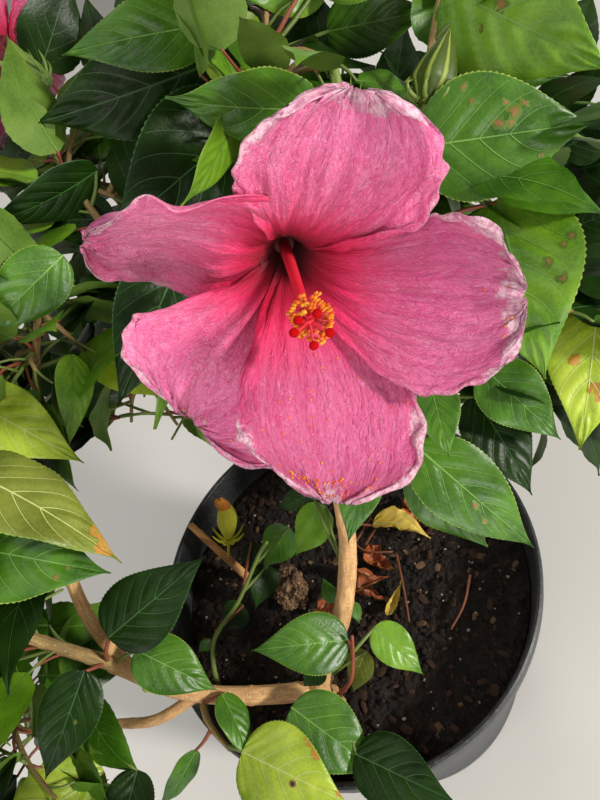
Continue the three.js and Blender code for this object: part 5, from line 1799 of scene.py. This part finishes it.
def lumpFinish():
    # a dry clod: brown with pale crumbs and dark pits
    finish = Finish("mixClod")
    here = finish.place()
    grain = finish.noise(here, 170, 4, 0.7)
    crumbs = finish.noise(here, 330, 2)
    colour = finish.mix(grain.step(0.36, 0.6), screen(44, 28, 20), screen(138, 106, 76))
    finish.feed("Base Color", finish.mix(crumbs.step(0.58, 0.68) * 0.7, colour, screen(196, 160, 116)))
    finish.feed("Roughness", 0.85 + 0.1 * grain)
    finish.bump(grain + crumbs * 0.6, 1.0, 0.003)
    return finish.material


def potRadius(z):
    return potSizes["footRadius"] + (potSizes["topRadius"] - potSizes["rimStep"]
                                     - potSizes["footRadius"]) * z / potSizes["height"]


def makePot():
    sizes = potSizes
    lip = sizes["height"] - sizes["rimHeight"]
    wall, top = sizes["wall"], sizes["topRadius"]
    profile = [(0, 4), (60, 4), (potRadius(0) - 12, 3), (potRadius(0) - 9, 0), (potRadius(0) - 1.2, 0),
               (potRadius(0), 1.6), (potRadius(30), 30), (potRadius(31) + 0.5, 31),
               (potRadius(34) + 0.5, 34), (potRadius(35), 35), (potRadius(lip - 2), lip - 2),
               (potRadius(lip) + 1.2, lip), (top - 0.4, lip + 2.4), (top, lip + 3.6),
               (top - 0.4, lip + 9), (top, sizes["height"] - 3), (top - 0.6, sizes["height"] - 0.8),
               (top - 2, sizes["height"]), (top - 3.6, sizes["height"] - 0.6),
               (top - 4.6, sizes["height"] - 2), (potRadius(lip) - wall, lip - 1),
               (potRadius(30) - wall, 30), (potRadius(4) - wall - 3, 4)]
    shape = spinProfile(profile, sizes["turns"], 0.01)
    finishPiece("nurseryPot", shape, [potFinish()], ["pot"], 28)


mixLump = {"middle": (-42, 12, 219), "sizes": (13, 16, 10)}
# loose chips: how many, shares of the draw below which a chip is dark, brown or tan, and the rest
# are pale; a pair is the least and what a draw may add
chips = {
    "count": 1500, "dark": 0.55, "brown": 0.86, "tan": 0.93, "turn": 6.2832, "tilt": 0.9,
    "pale": (0.5, 0.6), "long": (1.1, 2.9), "wide": (0.4, 0.3), "thin": (0.14, 0.16), "jag": (0.8, 0.4),
}


# how far the mix reaches inside the pot
mixReach = potRadius(potSizes["soilTop"]) - potSizes["wall"] - 1.2


def makeMixBed():
    top, inside = potSizes["soilTop"], mixReach
    shape = newGrid(150, 150)
    for v in shape.verts:
        x, y = v.co.x, v.co.y
        long = max(abs(x), abs(y))
        scale = long / max(math.hypot(x, y), 1e-9) if long else 0
        x, y = x * scale * inside, y * scale * inside
        spot = Vector((x * 0.11, y * 0.11, 2.0))
        lumps = 2.4 * noise.noise(spot) + 1.3 * noise.noise(spot * 3.1)
        edge = smooth((inside - math.hypot(x, y)) / 8)
        v.co = Vector((x, y, top - 3.4 + 1.8 * edge + lumps))
    finishPiece("pottingMixBed", shape, [mixFinish()], ["soil"])


def makeChips():
    # loose bark and pale grains scattered over the bed, and one dry clod
    top, inside = potSizes["soilTop"], mixReach
    bark = [plainFinish("chipDark", (36, 24, 18), 0.9, 400, 0.6),
            plainFinish("chipBrown", (70, 46, 31), 0.88, 400, 0.6),
            plainFinish("chipTan", (118, 90, 64), 0.88, 400, 0.5),
            plainFinish("speckPale", (178, 168, 150), 0.8, 500, 0.4),
            lumpFinish()]
    gather = Gather()
    chip = bmesh.new()
    bmesh.ops.create_cube(chip, size=2)
    bmesh.ops.bevel(chip, geom=chip.edges[:], offset=0.35, offset_type="OFFSET", segments=1,
                    profile=0.5, affect="EDGES", material=-1)
    chipMesh, corners = asTemplate(chip, "chip")
    draw = seededNumbers(seeds["chips"])
    for k in range(chips["count"]):
        a, r = chips["turn"] * draw(), (inside - 4) * math.sqrt(draw())
        kind = draw()
        pale = kind > chips["tan"]
        least, more = chips["pale" if pale else "long"]
        long = least + more * draw() ** (1 if pale else 2)
        wide, thin = long * vary(draw, *chips["wide"]), long * vary(draw, *chips["thin"])
        if pale:
            wide, thin = long * 0.8, long * 0.6
        spin, tilt = chips["turn"] * draw(), chips["tilt"] * (draw() - 0.5)
        turned = Matrix.Rotation(spin, 3, "Z") @ Matrix.Rotation(tilt, 3, "Y")
        base = Vector((r * math.cos(a), r * math.sin(a), top - 1.6 + 1.6 * draw()))
        jag = [vary(draw, *chips["jag"]) for _ in range(6)]
        points = [base + turned @ Vector((x * long * jag[n % 6], y * wide * jag[(n + 2) % 6],
                                          z * thin)) for n, (x, y, z) in enumerate(corners)]
        tone = sum(kind >= chips[share] for share in ("dark", "brown"))
        gather.add(chipMesh, points, 3 if pale else tone)
    ball = bmesh.new()
    bmesh.ops.create_icosphere(ball, subdivisions=5, radius=1)
    middle, points = Vector(mixLump["middle"]), []
    for p in ball.verts:
        swell = (1 + 0.34 * noise.noise(p.co * 1.6) + 0.22 * noise.noise(p.co * 4)
                 + 0.14 * noise.noise(p.co * 10))
        points.append(middle + Vector([c * r * swell for c, r in zip(p.co, mixLump["sizes"])]))
    gather.add(asMesh(ball, "lump"), points, 4)
    finishPiece("pottingMixChips", gather.shape, bark, (), 40)


makePot()
makeMixBed()
makeChips()
print("pot and potting mix made")


# floor
def makeFloor():
    mesh = asMesh(newGrid(1, 1, 4), "studioFloor")
    finish = Finish("paleFloor", Base_Color=screen(224, 221, 216), Roughness=0.85)
    mesh.materials.append(finish.material)
    floor = bpy.data.objects.new("studioFloor", mesh)
    scene.collection.objects.link(floor)


makeFloor()
